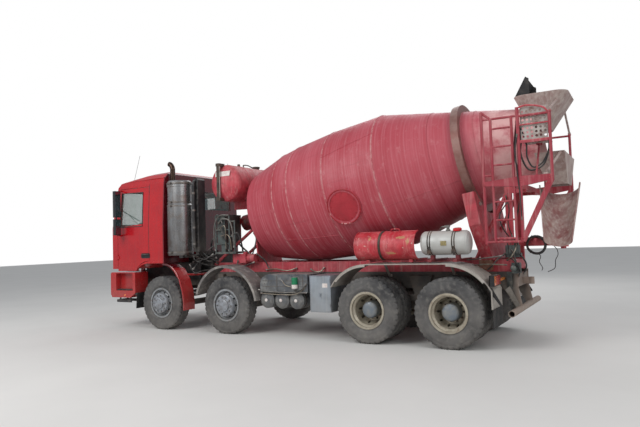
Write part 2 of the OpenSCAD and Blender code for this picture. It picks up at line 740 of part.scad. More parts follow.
module platform() {
    low = x_last_post + 34;
    high = x_post - 34;
    y_panel = ladder_y - 42;
    color("lightgray") {
        difference() {
            block([low, 700, platform_z], [high, y_panel + 12, platform_z + 20]);
            for (i = [0:5], j = [0:6])
                translate([low + 30 + 60 * i, 740 + 58 * j, platform_z - 10]) cylinder(r = 15, h = 60, $fn = 16);
        }
        difference() {
            block([low, y_panel, platform_z], [high, y_panel + 12, 3500]);
            for (i = [0:5], k = [0:6])
                translate([low + 30 + 60 * i, ladder_y, 3080 + 60 * k]) rotate([90, 0, 0])
                    cylinder(r = 18, h = 80, $fn = 16);
        }
    }
}

// Charging hopper over the mouth and the funnel under it
module hopper_form(grow) {
    g = grow;
    hull() {
        for (x = [-4390 + g, -3960 - g], y = [-340 + g, 340 - g])
            translate([x, y, 3830]) cylinder(r = 180, h = 1, $fn = 32);
        for (y = [-170, 170]) translate([-4130, y, 3330]) cylinder(r = 130 - g, h = 1, $fn = 32);
    }
}

// The space that the rear of the drum turns in
module drum_room(gap) {
    drum_place() {
        translate([0, 0, cone_start])
            cylinder(r1 = drum_radius + gap, r2 = mouth_radius + gap, h = drum_end - cone_start, $fn = 96);
        translate([0, 0, drum_end - 1]) cylinder(r = mouth_radius + gap, h = gap, $fn = 96);
    }
}

module hopper() {
    color("gray") along(end_shift) {
        difference() {
            hopper_form(0);
            translate([0, 0, 0.5]) hopper_form(12);
            translate([0, 0, -0.5]) hopper_form(12);
            along(-end_shift) drum_room(25);
        }
        difference() {
            hull() {
                translate([-4500, -620, 2900]) cube([420, 1240, 1]);
                translate([-4480, -230, 2440]) cube([300, 460, 1]);
            }
            hull() {
                translate([-4488, -608, 2901]) cube([420, 1216, 1]);
                translate([-4468, -218, 2430]) cube([276, 436, 1]);
            }
            along(-end_shift) drum_room(25);
        }
        both_sides() {
            bar([-4440, 594, 2880], [-4310, ladder_y - 10, 2541], 20);
            block([-4340, ladder_y - 24, 2520], [-4280, ladder_y + 22, 2545]);
            bar([-4410, 440, 3700], [-4393, ladder_y - 12, 3430], 17);
            block([-4416, ladder_y - 26, 3410], [-4370, ladder_y + 5, 3432]);
        }
    }
}

module hopper_flaps() {
    color("black") along(end_shift) {
        side_plate([[-3791, 3831], [-3781, 3831], [-3960, 4150], [-3970, 4150]], -345, 345);
        both_sides() side_plate([[-4010, 3831], [-3789, 3831], [-3966, 4146], [-4010, 4120]], 335, 345);
    }
}

// Chute. At rest its outlet points down to the left.
x_swing = x_rear + 300;
chute_steep = 60;
chute_length = 1000;
pivot_y = 110;
pivot_z = 1840;
// Pins of the chute's cylinder, across the truck and upwards
ram_foot = [-250, 1715];
ram_eye = [-66, 2085];

module chute_place() {
    translate([x_swing, pivot_y, pivot_z]) rotate([90 - chute_steep, 0, 0]) children();
}

module half_cone(r_low, r_high, length) {
    difference() {
        cylinder(r1 = r_low, r2 = r_high, h = length, $fn = 72);
        translate([-600, 0, -10]) cube([1200, 600, length + 20]);
    }
}

module chute() {
    color("tan") chute_place() difference() {
        union() {
            translate([0, 280, -450]) difference() {
                half_cone(200, 300, chute_length);
                translate([0, 0, -1]) cylinder(r1 = 192, r2 = 292, h = chute_length + 2, $fn = 72);
            }
            for (side = [-1, 1])
                bar([side * 190, 280, -450], [side * 289, 280, chute_length - 451], 10);
            translate([-60, 0, 0]) rotate([0, 90, 0]) cylinder(r = 34, h = 120);
            block([-55, 0, -30], [55, 42, 30]);
            for (side = [-1, 1])
                block([side * 27 - 5, -45, 280], [side * 27 + 5, 8, 320]);
            translate([-32, -30, 300]) rotate([0, 90, 0]) cylinder(r = 10, h = 64);
        }
        translate([-70, 0, 0]) rotate([0, 90, 0]) cylinder(r = 20 + running_gap, h = 140);
    }
}

module chute_bracket() {
    color(red) {
        translate([x_swing, 0, 1450]) cylinder(r = 40, h = 235);
        block([x_swing - 90, -60, 1665], [x_swing + 90, pivot_y + 34, 1700]);
        block([x_swing - 55, ram_foot[0] - 30, 1665], [x_swing + 55, -50, 1685]);
        for (side = [-1, 1]) {
            block([x_swing + side * 78 - 12, pivot_y - 34, 1690], [x_swing + side * 78 + 12, pivot_y + 34, pivot_z]);
            translate([x_swing + side * 78 - 12, pivot_y, pivot_z]) rotate([0, 90, 0]) cylinder(r = 34, h = 24);
            block([x_swing + side * 45 - 8, ram_foot[0] - 22, 1680],
                [x_swing + side * 45 + 8, ram_foot[0] + 22, ram_foot[1] + 20]);
        }
        translate([x_swing - 90, pivot_y, pivot_z]) rotate([0, 90, 0]) cylinder(r = 20, h = 180);
        translate([x_swing - 50, ram_foot[0], ram_foot[1]]) rotate([0, 90, 0]) cylinder(r = 12, h = 100);
    }
}

// Places its children with +Z from the cylinder's foot to its eye
module ram_place() {
    v = ram_eye - ram_foot;
    translate([x_swing, ram_foot[0], ram_foot[1]]) rotate([-atan2(v[0], v[1]), 0, 0]) children();
}

ram_length = norm(ram_eye - ram_foot);

module chute_cylinder() {
    color(red) ram_place() difference() {
        union() {
            translate([0, 0, 20]) cylinder(r = 30, h = 212);
            translate([-30, 0, 0]) rotate([0, 90, 0]) cylinder(r = 24, h = 60);
        }
        translate([-31, 0, 0]) rotate([0, 90, 0]) cylinder(r = 12 + running_gap, h = 62);
        translate([0, 0, 34]) cylinder(r = 15 + running_gap, h = 200);
    }
}

module chute_rod() {
    color("silver") ram_place() difference() {
        union() {
            translate([0, 0, ram_length - 228]) cylinder(r = 15, h = 206);
            translate([-16, 0, ram_length]) rotate([0, 90, 0]) cylinder(r = 28, h = 32);
        }
        translate([-17, 0, ram_length]) rotate([0, 90, 0]) cylinder(r = 17, h = 34);
    }
}

// Hose hung on a peg at the chute's arm, wound in a round coil with its ends tucked in
coil_x = x_rear + 685;
coil_y = 105;
coil_peg_z = 1604.4;
coil_peg_radius = 12;
coil_radius = 130;
coil_thick = 32;
coil_z = coil_peg_z + coil_peg_radius + 0.03 - coil_radius + coil_thick;

module hose_coil() {
    color("black") translate([coil_x, coil_y, coil_z]) rotate([90, 0, 0]) rotate_extrude($fn = 64)
        translate([coil_radius, 0]) circle(r = coil_thick, $fn = 32);
}

// Cab
door_front = x_front - 190;
door_back = x_cab_rear + 435;
door_low = 1190;
// Door hinges on the cab's side, with their barrels' lower ends
hinge_x = door_front + 4;
hinge_y = cab_half + 12;
hinge_z = [1450, 1980];
hinge_height = 60;
rear_window_half = 950;
mirror_x = door_front - 220;
mirror_y = cab_half + 90;

module cab_side(inset) {
    i = inset;
    polygon([[x_cab_front - i, 1235 + i], [x_cab_front - i, 2110], [x_cab_front - 150 - i, 2990],
        [x_cab_front - 240 - i / 2, 3080 - i], [x_cab_rear + 425, 3230 - i], [x_cab_rear + 45 + i, 3250 - i],
        [x_cab_rear + i, 3200 - i], [x_cab_rear + i, 1345 + i], [x_cab_rear + 500, 1345 + i],
        [x_cab_rear + 640 + i / 2, 1320 + i], [x_cab_rear + 740 + i / 2, 1270 + i],
        [x_cab_rear + 780 + i / 2, 1235 + i]]);
}

module cab_section(inset) {
    i = inset;
    right = [[cab_half - i, 1200], [cab_half - i, 2150], [cab_half - 50 - i, 3000],
        [cab_half - 70 - i, 3100 - i], [cab_half - 160 - i, 3200 - i], [cab_half - 260 - i, 3250 - i]];
    left = [for (k = [len(right) - 1:-1:0]) [-right[k][0], right[k][1]]];
    polygon(concat(right, [[0, 3262 - i]], left));
}

module cab_form(inset) {
    intersection() {
        translate([0, 1300, 0]) rotate([90, 0, 0]) linear_extrude(2600) cab_side(inset);
        translate([x_cab_rear - 175, 0, 0]) rotate([90, 0, 90]) linear_extrude(1900) cab_section(inset);
    }
}

module tunnel(grow) {
    block([x_cab_rear - 10, -480 - grow, 1100], [x_cab_front - 370 + grow, 480 + grow, 1560 + grow]);
}

door_outline = concat(
    [[door_front, door_low], [door_front, 2120], [door_front - 60, 2950], [door_back, 2950],
    [door_back, 1400], [door_back + 110, 1392], [door_back + 230, 1350], [door_back + 330, 1280],
    [door_back + 390, door_low]]);
window_outline = [[door_front - 65, 2130], [door_front - 95, 2860], [door_back + 180, 2850],
    [door_back + 160, 2180]];

module door_cut(gap) {
    translate([0, cab_half + 60, 0]) rotate([90, 0, 0]) linear_extrude(200) door_opening(gap);
}

// The door's outline grown by a gap, without rounding
module door_opening(gap) {
    polygon([[door_front + gap, door_low - gap - 60], [door_front + gap, 2120],
        [door_front - 60 + gap, 2950 + gap], [door_back - gap, 2950 + gap], [door_back - gap, 1400 - gap],
        [door_back + 110 - gap, 1392 - gap], [door_back + 230 - gap, 1350 - gap],
        [door_back + 330 - gap, 1280 - gap], [door_back + 390 - gap, door_low - gap - 60]]);
}

module cab_shell() {
    color(red) difference() {
        cab_form(0);
        difference() {
            cab_form(cab_wall);
            tunnel(cab_wall);
        }
        tunnel(0);
        both_sides() door_cut(door_gap);
        block([x_cab_front - 400, -1040, 2200], [x_cab_front + 50, 1040, 2900]);
        block([x_cab_rear - 10, -rear_window_half, 2480], [x_cab_rear + 200, rear_window_half, 2880]);
    }
    color(steel) both_sides() for (z = hinge_z) {
        translate([hinge_x, hinge_y, z - 25]) cylinder(r = 5, h = hinge_height + 50);
        for (low = [z - 25, z + hinge_height + 6]) {
            translate([hinge_x, hinge_y, low]) cylinder(r = 10, h = 19);
            block([hinge_x + 6, cab_half - 1, low], [hinge_x + 46, hinge_y, low + 19]);
        }
    }
    color(steel) both_sides() difference() {
        union() {
            axle_y(tilt_x, tilt_z, 50, rail_half + 15, rail_half + 55);
            block([tilt_x - 50, rail_half + 15, tilt_z], [tilt_x + 50, rail_half + 55, 1245]);
        }
        axle_y(tilt_x, tilt_z, pivot_radius + running_gap, rail_half, rail_half + 80);
    }
}

module door_skin(inset_low, inset_high) {
    translate([x_cab_rear - 175, 0, 0]) rotate([90, 0, 90]) linear_extrude(1900) polygon([
        [cab_half - inset_low, 1000], [cab_half - inset_low, 2150], [cab_half - 50 - inset_low, 3000],
        [cab_half - 50 - inset_high, 3000], [cab_half - inset_high, 2150], [cab_half - inset_high, 1000]]);
}

// A mirror's housing from above: the glass at the back, a round front
module mirror_outline() {
    polygon(concat([[0, 12], [12, 0], [40, 0]], arc(40, 80, 80, -75, 75, 10), [[40, 160], [12, 160], [0, 148]]));
}

module door() {
    color(red) difference() {
        intersection() {
            translate([0, cab_half + 60, 0]) rotate([90, 0, 0]) linear_extrude(200) polygon(door_outline);
            door_skin(0, cab_wall);
        }
        translate([0, cab_half + 60, 0]) rotate([90, 0, 0]) linear_extrude(200) polygon(window_outline);
    }
    color(steel) for (z = hinge_z) difference() {
        union() {
            translate([hinge_x, hinge_y, z]) cylinder(r = 10, h = hinge_height);
            block([hinge_x - 50, cab_half - 1, z], [hinge_x - 6, hinge_y, z + hinge_height]);
        }
        translate([hinge_x, hinge_y, z - 1]) cylinder(r = 5 + running_gap, h = hinge_height + 2);
    }
    color("black") {
        for (range = [[1960, 2300], [2340, 2900]]) translate([mirror_x, mirror_y, range[0]])
            linear_extrude(range[1] - range[0]) mirror_outline();
        bar([mirror_x + 60, mirror_y + 80, 2880], [mirror_x + 140, cab_half - 60, 2930], 18);
        bar([mirror_x + 60, mirror_y + 80, 1980], [mirror_x + 160, cab_half - 20, 1950], 18);
        bar([mirror_x + 60, mirror_y + 80, 2280], [mirror_x + 60, mirror_y + 80, 2360], 18);
    }
}

module door_glass() {
    color("lightblue") intersection() {
        translate([0, cab_half + 60, 0]) rotate([90, 0, 0]) linear_extrude(200) polygon(window_outline);
        door_skin(26, 32);
    }
}

module cab_glass() {
    rake = 150 / 880;
    color("lightblue") {
        side_plate([for (p = [[-12, 2200], [-12, 2900], [-20, 2900], [-20, 2200]])
            [x_cab_front - (p[1] - 2110) * rake + p[0], p[1]]], -1040, 1040);
        block([x_cab_rear + 20, -rear_window_half, 2480], [x_cab_rear + 26, rear_window_half, 2880]);
    }
}

module cab_interior() {
    x_dash = x_cab_front - cab_wall;
    seat_y = 680;
    color("dimgray") {
        side_plate([[x_dash, 1760], [x_dash, 2080], [x_dash - 120, 2120], [x_dash - 330, 2060],
            [x_dash - 300, 1800]], -1080, 1080);
        for (y = [-seat_y, seat_y]) {
            block([x_cab_rear + 200, y - 120, 1405], [x_cab_rear + 480, y + 120, 1640]);
            block([x_cab_rear + 160, y - 240, 1640], [x_cab_rear + 640, y + 240, 1780]);
            block([x_cab_rear + 90, y - 230, 1780], [x_cab_rear + 220, y + 230, 2520]);
        }
        bar([x_dash - 260, seat_y, 1900], [x_dash - 452, seat_y, 2072], 30);
        translate([x_dash - 450, seat_y, 2070]) rotate([0, -48, 0]) rotate_extrude() translate([210, 0])
            circle(r = 14);
        translate([x_dash - 450, seat_y, 2070]) rotate([0, -48, 0]) translate([-205, -20, -8]) cube([410, 40, 16]);
    }
}

module grille() {
    color("black") {
        difference() {
            block([x_cab_front, -900, 1260], [x_cab_front + 19, 900, 2060]);
            for (z = [1300:90:1990])
                block([x_cab_front - 1, -860, z], [x_cab_front + 20, 860, z + 60]);
        }
        side_plate([[x_cab_front - 150 * 840 / 880, 2950], [x_cab_front - 150, 2990],
            [x_cab_front - 170, 3010], [x_cab_front - 20, 2975], [x_cab_front + 10, 2925],
            [x_cab_front - 20, 2940]], -960, 960);
    }
}

module front_tyre(x) {
    color("dimgray") wheel_place(x, front_track_half) tyre_ring(0);
}

module twin_tyres(x) {
    color("dimgray") wheel_place(x, rear_outer_half - twin_gap / 2) {
        tyre_ring(twin_gap / 2);
        tyre_ring(-twin_gap / 2);
    }
}

module front_wheel(x) {
    color("silver") wheel_place(x, front_track_half) front_rim();
}

module twin_wheel(x) {
    color("beige") wheel_place(x, rear_outer_half - twin_gap / 2) twin_rims();
}

chassis_frame();
engine();
front_axles();
rear_axles();
mixer_frame();
front_bumper();
lamps();
mudguards();
exhaust();
air_intake();
drum_drive();
water_tank();
rear_ladder();
platform();
hopper();
hopper_flaps();
spare_chutes();
tanks();
side_box();
hose_coil();
cab_shell();
cab_glass();
cab_interior();
grille();
door();  // door_left
mirror([0, 1, 0]) door();  // door_right
door_glass();  // door_glass_left
mirror([0, 1, 0]) door_glass();  // door_glass_right
drum();
drum_ring();
drum_blades();
roller(-1);  // roller_left
roller(1);  // roller_right
chute_bracket();
chute();
chute_cylinder();
chute_rod();
knuckle(x_axle_1);  // knuckle_1_left
mirror([0, 1, 0]) knuckle(x_axle_1);  // knuckle_1_right
knuckle(x_axle_2);  // knuckle_2_left
mirror([0, 1, 0]) knuckle(x_axle_2);  // knuckle_2_right
front_tyre(x_axle_1);  // tyre_1_left
mirror([0, 1, 0]) front_tyre(x_axle_1);  // tyre_1_right
front_tyre(x_axle_2);  // tyre_2_left
mirror([0, 1, 0]) front_tyre(x_axle_2);  // tyre_2_right
twin_tyres(x_axle_3);  // tyres_3_left
mirror([0, 1, 0]) twin_tyres(x_axle_3);  // tyres_3_right
twin_tyres(x_axle_4);  // tyres_4_left
mirror([0, 1, 0]) twin_tyres(x_axle_4);  // tyres_4_right
front_wheel(x_axle_1);  // rim_1_left
mirror([0, 1, 0]) front_wheel(x_axle_1);  // rim_1_right
front_wheel(x_axle_2);  // rim_2_left
mirror([0, 1, 0]) front_wheel(x_axle_2);  // rim_2_right
twin_wheel(x_axle_3);  // rims_3_left
mirror([0, 1, 0]) twin_wheel(x_axle_3);  // rims_3_right
twin_wheel(x_axle_4);  // rims_4_left
mirror([0, 1, 0]) twin_wheel(x_axle_4);  // rims_4_right
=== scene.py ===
# Dresses the concrete mixer truck. Metres, +X forward, +Y left, +Z up.
import json
import math

import bmesh
import bpy
from mathutils import Matrix, Vector


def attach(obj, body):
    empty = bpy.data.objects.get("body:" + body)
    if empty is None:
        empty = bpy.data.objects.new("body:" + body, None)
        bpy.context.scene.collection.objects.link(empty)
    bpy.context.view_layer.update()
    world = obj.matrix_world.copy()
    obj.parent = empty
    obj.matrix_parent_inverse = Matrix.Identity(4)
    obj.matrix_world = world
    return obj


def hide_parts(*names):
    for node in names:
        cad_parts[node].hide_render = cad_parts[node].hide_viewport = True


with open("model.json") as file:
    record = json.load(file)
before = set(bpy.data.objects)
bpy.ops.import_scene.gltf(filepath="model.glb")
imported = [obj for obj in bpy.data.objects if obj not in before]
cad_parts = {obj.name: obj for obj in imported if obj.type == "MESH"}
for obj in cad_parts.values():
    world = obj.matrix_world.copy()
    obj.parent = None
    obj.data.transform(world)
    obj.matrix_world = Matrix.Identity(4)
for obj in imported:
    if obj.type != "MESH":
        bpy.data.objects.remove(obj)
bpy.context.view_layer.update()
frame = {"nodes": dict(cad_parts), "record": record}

# The camera, fitted to the photograph: its place, its angles in radians and its focal length in millimetres
CAMERA_PLACE = (-5.504, 9.4349, 1.6881)
CAMERA_YAW, CAMERA_PITCH, CAMERA_ROLL = 0.5314, 0.0497, -0.0336
CAMERA_LENS = 31.4

# Directions of the truck
AHEAD = Vector((1, 0, 0))
LEFT = Vector((0, 1, 0))
UP = Vector((0, 0, 1))

# Stations of the truck, the same as in the CAD source
AXLES = {1: 3.16, 2: 1.46, 3: -1.49, 4: -2.84}
AXLE_Z = 0.54
TYRE_RADIUS = 0.54
TYRE_WIDTH = 0.305
BEAD_RADIUS = 0.286
FRONT_Y = 1.072
TWIN_Y = 0.91
TWIN_GAP = 0.35
CAB_FRONT = 4.62
CAB_SIDE = 1.2
DRUM_TILT = math.radians(10.0)
DRUM_POINT = Vector((-0.84, 0.0, 2.61))
DRUM_AXIS = Vector((-math.cos(DRUM_TILT), 0.0, math.sin(DRUM_TILT)))
DRUM_UP = Vector((math.sin(DRUM_TILT), 0.0, math.cos(DRUM_TILT)))
DRUM_PROFILE = [(-2.14, 0.4), (-2.085, 0.715), (-2.0, 0.895), (-1.26, 1.09), (-0.9, 1.14),
                (-0.11, 1.195), (0.87, 1.195), (3.3, 0.52)]

# Each wheel by its axle, its side, the sign of that side along Y, and the axle's place
WHEELS = [(axle, side, sign, x) for axle, x in AXLES.items() for side, sign in (("left", 1), ("right", -1))]


def placed(name, data):
    """A new object in the scene for this mesh, camera or light."""
    thing = bpy.data.objects.new(name, data)
    bpy.context.scene.collection.objects.link(thing)
    return thing


def camera():
    across = math.cos(CAMERA_PITCH)
    ahead = Vector((math.sin(CAMERA_YAW) * across, -math.cos(CAMERA_YAW) * across, math.sin(CAMERA_PITCH)))
    right = ahead.cross(UP).normalized()
    up = right.cross(ahead)
    right_rolled = math.cos(CAMERA_ROLL) * right + math.sin(CAMERA_ROLL) * up
    up_rolled = -math.sin(CAMERA_ROLL) * right + math.cos(CAMERA_ROLL) * up
    data = bpy.data.cameras.new("camera")
    data.sensor_width = 36.0
    data.sensor_fit = "HORIZONTAL"
    data.lens = CAMERA_LENS
    data.clip_end = 200.0
    thing = placed("camera", data)
    turn = Matrix((right_rolled, up_rolled, -ahead)).transposed().to_4x4()
    thing.matrix_world = Matrix.Translation(CAMERA_PLACE) @ turn
    bpy.context.scene.camera = thing


# Colours are written as 0 to 255 in the usual display form
def rgb(red, green, blue):
    def linear(part):
        part = part / 255.0
        return part / 12.92 if part <= 0.04045 else ((part + 0.055) / 1.055) ** 2.4

    return (linear(red), linear(green), linear(blue), 1.0)


DUST = (150, 142, 130)
PALE_DUST = (186, 180, 170)
RUST = (104, 62, 44)
GREY_CEMENT = (160, 152, 143)
BARE_SPOT = (176, 128, 88)


def feed(socket, value):
    """Sets a socket to a value, or links it to the output of a node."""
    if isinstance(value, bpy.types.NodeSocket):
        socket.id_data.links.new(value, socket)
    else:
        socket.default_value = value


def add_node(tree, kind, inputs=(), **settings):
    made = tree.nodes.new("ShaderNode" + kind)
    for name, value in settings.items():
        setattr(made, name, value)
    for name, value in dict(inputs).items():
        feed(made.inputs[name], value)
    return made


class Finish:
    """One procedural material, built up in coats over a base colour."""

    def __init__(self, name, color, rough=0.5, metal=0):
        self.name = name
        self.material = bpy.data.materials.new(name)
        self.material.use_nodes = True
        self.tree = self.material.node_tree
        self.shader = self.tree.nodes["Principled BSDF"]
        self.shade("Roughness", rough).shade("Metallic", metal)
        self.rough = rough
        self.place = self.node("TexCoord").outputs["Object"]
        self.color = self.node("RGB").outputs[0]
        self.color.default_value = rgb(*color)
        self.parts = None
        self.bump = None

    def shade(self, name, value):
        feed(self.shader.inputs[name], value)
        return self

    def node(self, kind, inputs=(), **settings):
        return add_node(self.tree, kind, inputs, **settings)

    def math(self, kind, a, b=None, clamp=False):
        inputs = {0: a} if b is None else {0: a, 1: b}
        return self.node("Math", inputs, operation=kind, use_clamp=clamp).outputs[0]

    def axis(self, name):
        if not self.parts:
            self.parts = self.node("SeparateXYZ", {0: self.place})
        return self.parts.outputs[name]

    def remap(self, value, low, high, to_low=0, to_high=1):
        return self.node("MapRange", {"From Min": low, "From Max": high, "To Min": to_low, "To Max": to_high,
                                      "Value": value}).outputs["Result"]

    def noise(self, scale, detail=4, stretch=None, place=None, roughness=0.55):
        source = place or self.place
        if stretch:
            source = self.node("Mapping", {"Scale": stretch, "Vector": source}).outputs[0]
        return self.node("TexNoise", {"Scale": scale, "Detail": detail, "Roughness": roughness,
                                      "Vector": source}).outputs["Fac"]

    def coat(self, color, factor, *more):
        """Covers what is there with a colour, by the product of the factors."""
        for other in more:
            factor = self.math("MULTIPLY", factor, other)
        self.color = self.node("Mix", {"Factor": factor, "A": self.color, "B": rgb(*color)},
                               data_type="RGBA").outputs["Result"]
        return self

    def mottle(self, color, scale, amount, low=0.42, high=0.62, stretch=None):
        return self.coat(color, self.remap(self.noise(scale, stretch=stretch), low, high), amount)

    def streaks(self, color, amount, scale=3, low=0.5, high=0.72):
        return self.mottle(color, scale, amount, low, high, stretch=(9, 9, 0.55))

    def chips(self, color, scale, low=0.66, high=0.69, amount=0.9):
        return self.coat(color, self.remap(self.noise(scale, 7, roughness=0.62), low, high), amount)

    def low_dust(self, color, bottom, top, amount):
        height = self.remap(self.axis("Z"), bottom, top, 1, 0)
        patches = self.remap(self.noise(5, 6), 0.3, 0.7, 0.35, 1)
        return self.coat(color, height, patches, amount)

    def top_dust(self, color, amount):
        normal = self.node("NewGeometry").outputs["Normal"]
        facing = self.remap(self.node("SeparateXYZ", {0: normal}).outputs["Z"], 0.35, 0.95)
        patches = self.remap(self.noise(7, 6), 0.35, 0.65, 0.3, 1)
        return self.coat(color, facing, patches, amount)

    def zone(self, color, axis, low, high, blur=0.004):
        above = self.remap(self.axis(axis), low - blur, low + blur)
        below = self.remap(self.axis(axis), high - blur, high + blur, 1, 0)
        return self.coat(color, above, below)

    def spot(self, x, z, wide, high):
        """A worn patch round a place in X and Z, with a ragged edge."""
        across = self.math("DIVIDE", self.math("SUBTRACT", self.axis("X"), x), wide)
        up = self.math("DIVIDE", self.math("SUBTRACT", self.axis("Z"), z), high)
        reach = self.math("ADD", self.math("MULTIPLY", across, across), self.math("MULTIPLY", up, up))
        ragged = self.math("ADD", reach, self.remap(self.noise(30, 5), 0.3, 0.7, -0.8, 0.8))
        return self.coat(BARE_SPOT, self.remap(ragged, 0.7, 1.1, 1, 0), 0.9)

    def gloss(self, spread, scale=6):
        shift = self.remap(self.noise(scale, 5), 0.3, 0.7, -spread / 2, spread / 2)
        return self.shade("Roughness", self.math("ADD", shift, self.rough, clamp=True))

    def bumps(self, scale, height, strength, detail=4):
        inputs = {"Strength": strength, "Distance": height, "Height": self.noise(scale, detail)}
        if self.bump:
            inputs["Normal"] = self.bump
        self.bump = self.node("Bump", inputs).outputs[0]
        return self

    def done(self):
        self.shade("Base Color", self.color)
        if self.bump:
            self.shade("Normal", self.bump)
        return self.material


def faded_red(name, base, amount):
    paint = Finish(name, base, 0.55).mottle((186, 96, 100), 3.5, amount).mottle((140, 40, 48), 9, 0.5)
    paint.streaks((196, 150, 146), 0.4).chips((92, 74, 70), 22).chips((150, 98, 78), 12, 0.68, 0.73, 0.6)
    return paint.top_dust((184, 150, 144), 0.4).gloss(0.2).bumps(60, 0.001, 0.4)


def drum_place(paint):
    """Coordinates along the drum's axis and around it."""

    def along(direction):
        shift = paint.node("VectorMath", {0: paint.place, 1: DRUM_POINT}, operation="SUBTRACT")
        return paint.node("VectorMath", {0: shift.outputs[0], 1: direction}, operation="DOT_PRODUCT").outputs["Value"]

    station = along(DRUM_AXIS)
    angle = paint.math("ARCTAN2", paint.axis("Y"), along(DRUM_UP))
    return station, paint.node("CombineXYZ", {0: station, 1: angle}).outputs[0]


def drum_red():
    paint = Finish("drum_red", (160, 40, 54), 0.5)
    station, place = drum_place(paint)

    def patches(color, amount, stretch, detail, low, high, roughness=0.55, *where):
        factor = paint.remap(paint.noise(1, detail, stretch, place, roughness), low, high)
        paint.coat(color, factor, *where, amount)

    patches((184, 80, 92), 0.75, (2.2, 0.5, 1), 5, 0.35, 0.68)
    patches((202, 128, 136), 0.38, (34, 0.7, 1), 6, 0.46, 0.72)
    patches((206, 150, 152), 0.35, (9, 5, 1), 8, 0.56, 0.74, 0.7)
    paint.coat((190, 104, 112), paint.remap(station, 0.4, 3.2), 0.42)
    patches((222, 178, 174), 0.8, (3, 1.6, 1), 7, 0.36, 0.56, 0.65, paint.remap(station, 2.35, 2.7))
    patches((120, 36, 44), 0.3, (0.8, 16, 1), 6, 0.6, 0.76)
    for seam in (-1.26, -0.9, -0.11, 0.87):
        gap = paint.math("ABSOLUTE", paint.math("SUBTRACT", station, seam))
        line = paint.remap(gap, 0.006, 0.02, 1, 0)
        worn = paint.remap(paint.noise(14, 4), 0.38, 0.6, 0.15, 1)
        paint.coat((214, 168, 166), line, worn, 0.6)
    paint.chips((120, 100, 94), 30, 0.7, 0.73, 0.8)
    return paint.gloss(0.18, 4).bumps(40, 0.0012, 0.3).bumps(3, 0.006, 0.18)


def rim_paint(name, base, worn):
    paint = Finish(name, base, 0.42, 0.25).mottle(worn, 8, 0.6).mottle(RUST, 18, 0.45, 0.56, 0.68)
    return paint.low_dust(DUST, 0, 1, 0.45).gloss(0.25).bumps(70, 0.001, 0.4)


def lens(name, base, rough=0.12):
    paint = Finish(name, base, rough).shade("Coat Weight", 0.9).mottle([int(0.7 * part) for part in base], 40, 0.4)
    return paint.top_dust(DUST, 0.4).bumps(220, 0.001, 0.5)


def plain(name, base, rough, metal, worn, scale, dust=0, bump=120):
    """A finish for small pieces: a base colour, worn patches, dust and a fine grain."""
    paint = Finish(name, base, rough, metal).mottle(worn, scale, 0.6)
    if dust:
        paint.top_dust(PALE_DUST, dust)
    return paint.gloss(0.2).bumps(bump, 0.0006, 0.35)


# Name, base colour, roughness, metal, worn colour, scale of the patches, dust, scale of the grain
PLAIN = [
    ("cover_red", (172, 36, 50), 0.42, 0, (148, 22, 36), 5),
    ("signal_red", (206, 20, 30), 0.35, 0, (160, 16, 24), 14, 0.3),
    ("bright_steel", (176, 178, 180), 0.3, 0.9, (118, 112, 104), 16, 0.4),
    ("dark_steel", (62, 56, 52), 0.55, 0.4, (104, 84, 70), 14, 0.4),
    ("band_steel", (132, 128, 124), 0.42, 0.7, (92, 76, 64), 10, 0.3),
    ("heat_steel", (92, 66, 50), 0.5, 0.6, (54, 42, 38), 12),
    ("pale_steel", (150, 144, 136), 0.6, 0.3, (110, 100, 92), 8, 0.4),
    ("rusty_steel", (120, 76, 58), 0.7, 0.2, (150, 120, 104), 9, 0.5),
    ("hub_grey", (118, 126, 134), 0.5, 0.3, (146, 144, 138), 10, 0.4),
    ("front_hub", (158, 162, 168), 0.4, 0.5, (116, 112, 110), 12, 0.3),
    ("black_hose", (26, 25, 26), 0.5, 0, (78, 72, 68), 7, 0.5, 200),
    ("pipe_grey", (112, 110, 106), 0.5, 0.3, (74, 62, 54), 9, 0.5),
    ("zinc_pipe", (142, 134, 120), 0.42, 0.6, (96, 74, 58), 12, 0.4),
    ("black_trim", (22, 22, 24), 0.45, 0, (50, 48, 48), 8, 0.35, 300),
    ("dark_trim", (40, 38, 40), 0.55, 0.1, (86, 80, 76), 9, 0.5, 200),
    ("white_paint", (222, 214, 208), 0.5, 0, (196, 176, 170), 14),
    ("brass", (190, 176, 128), 0.35, 0.8, (132, 116, 80), 20),
    ("ring_steel", (126, 84, 76), 0.5, 0.3, (150, 120, 112), 6, 0.3),
    ("leaf_green", (24, 128, 84), 0.45, 0, (18, 92, 64), 12, 0.3),
    ("mirror", (120, 128, 136), 0.04, 0.95, (96, 102, 110), 4),
]

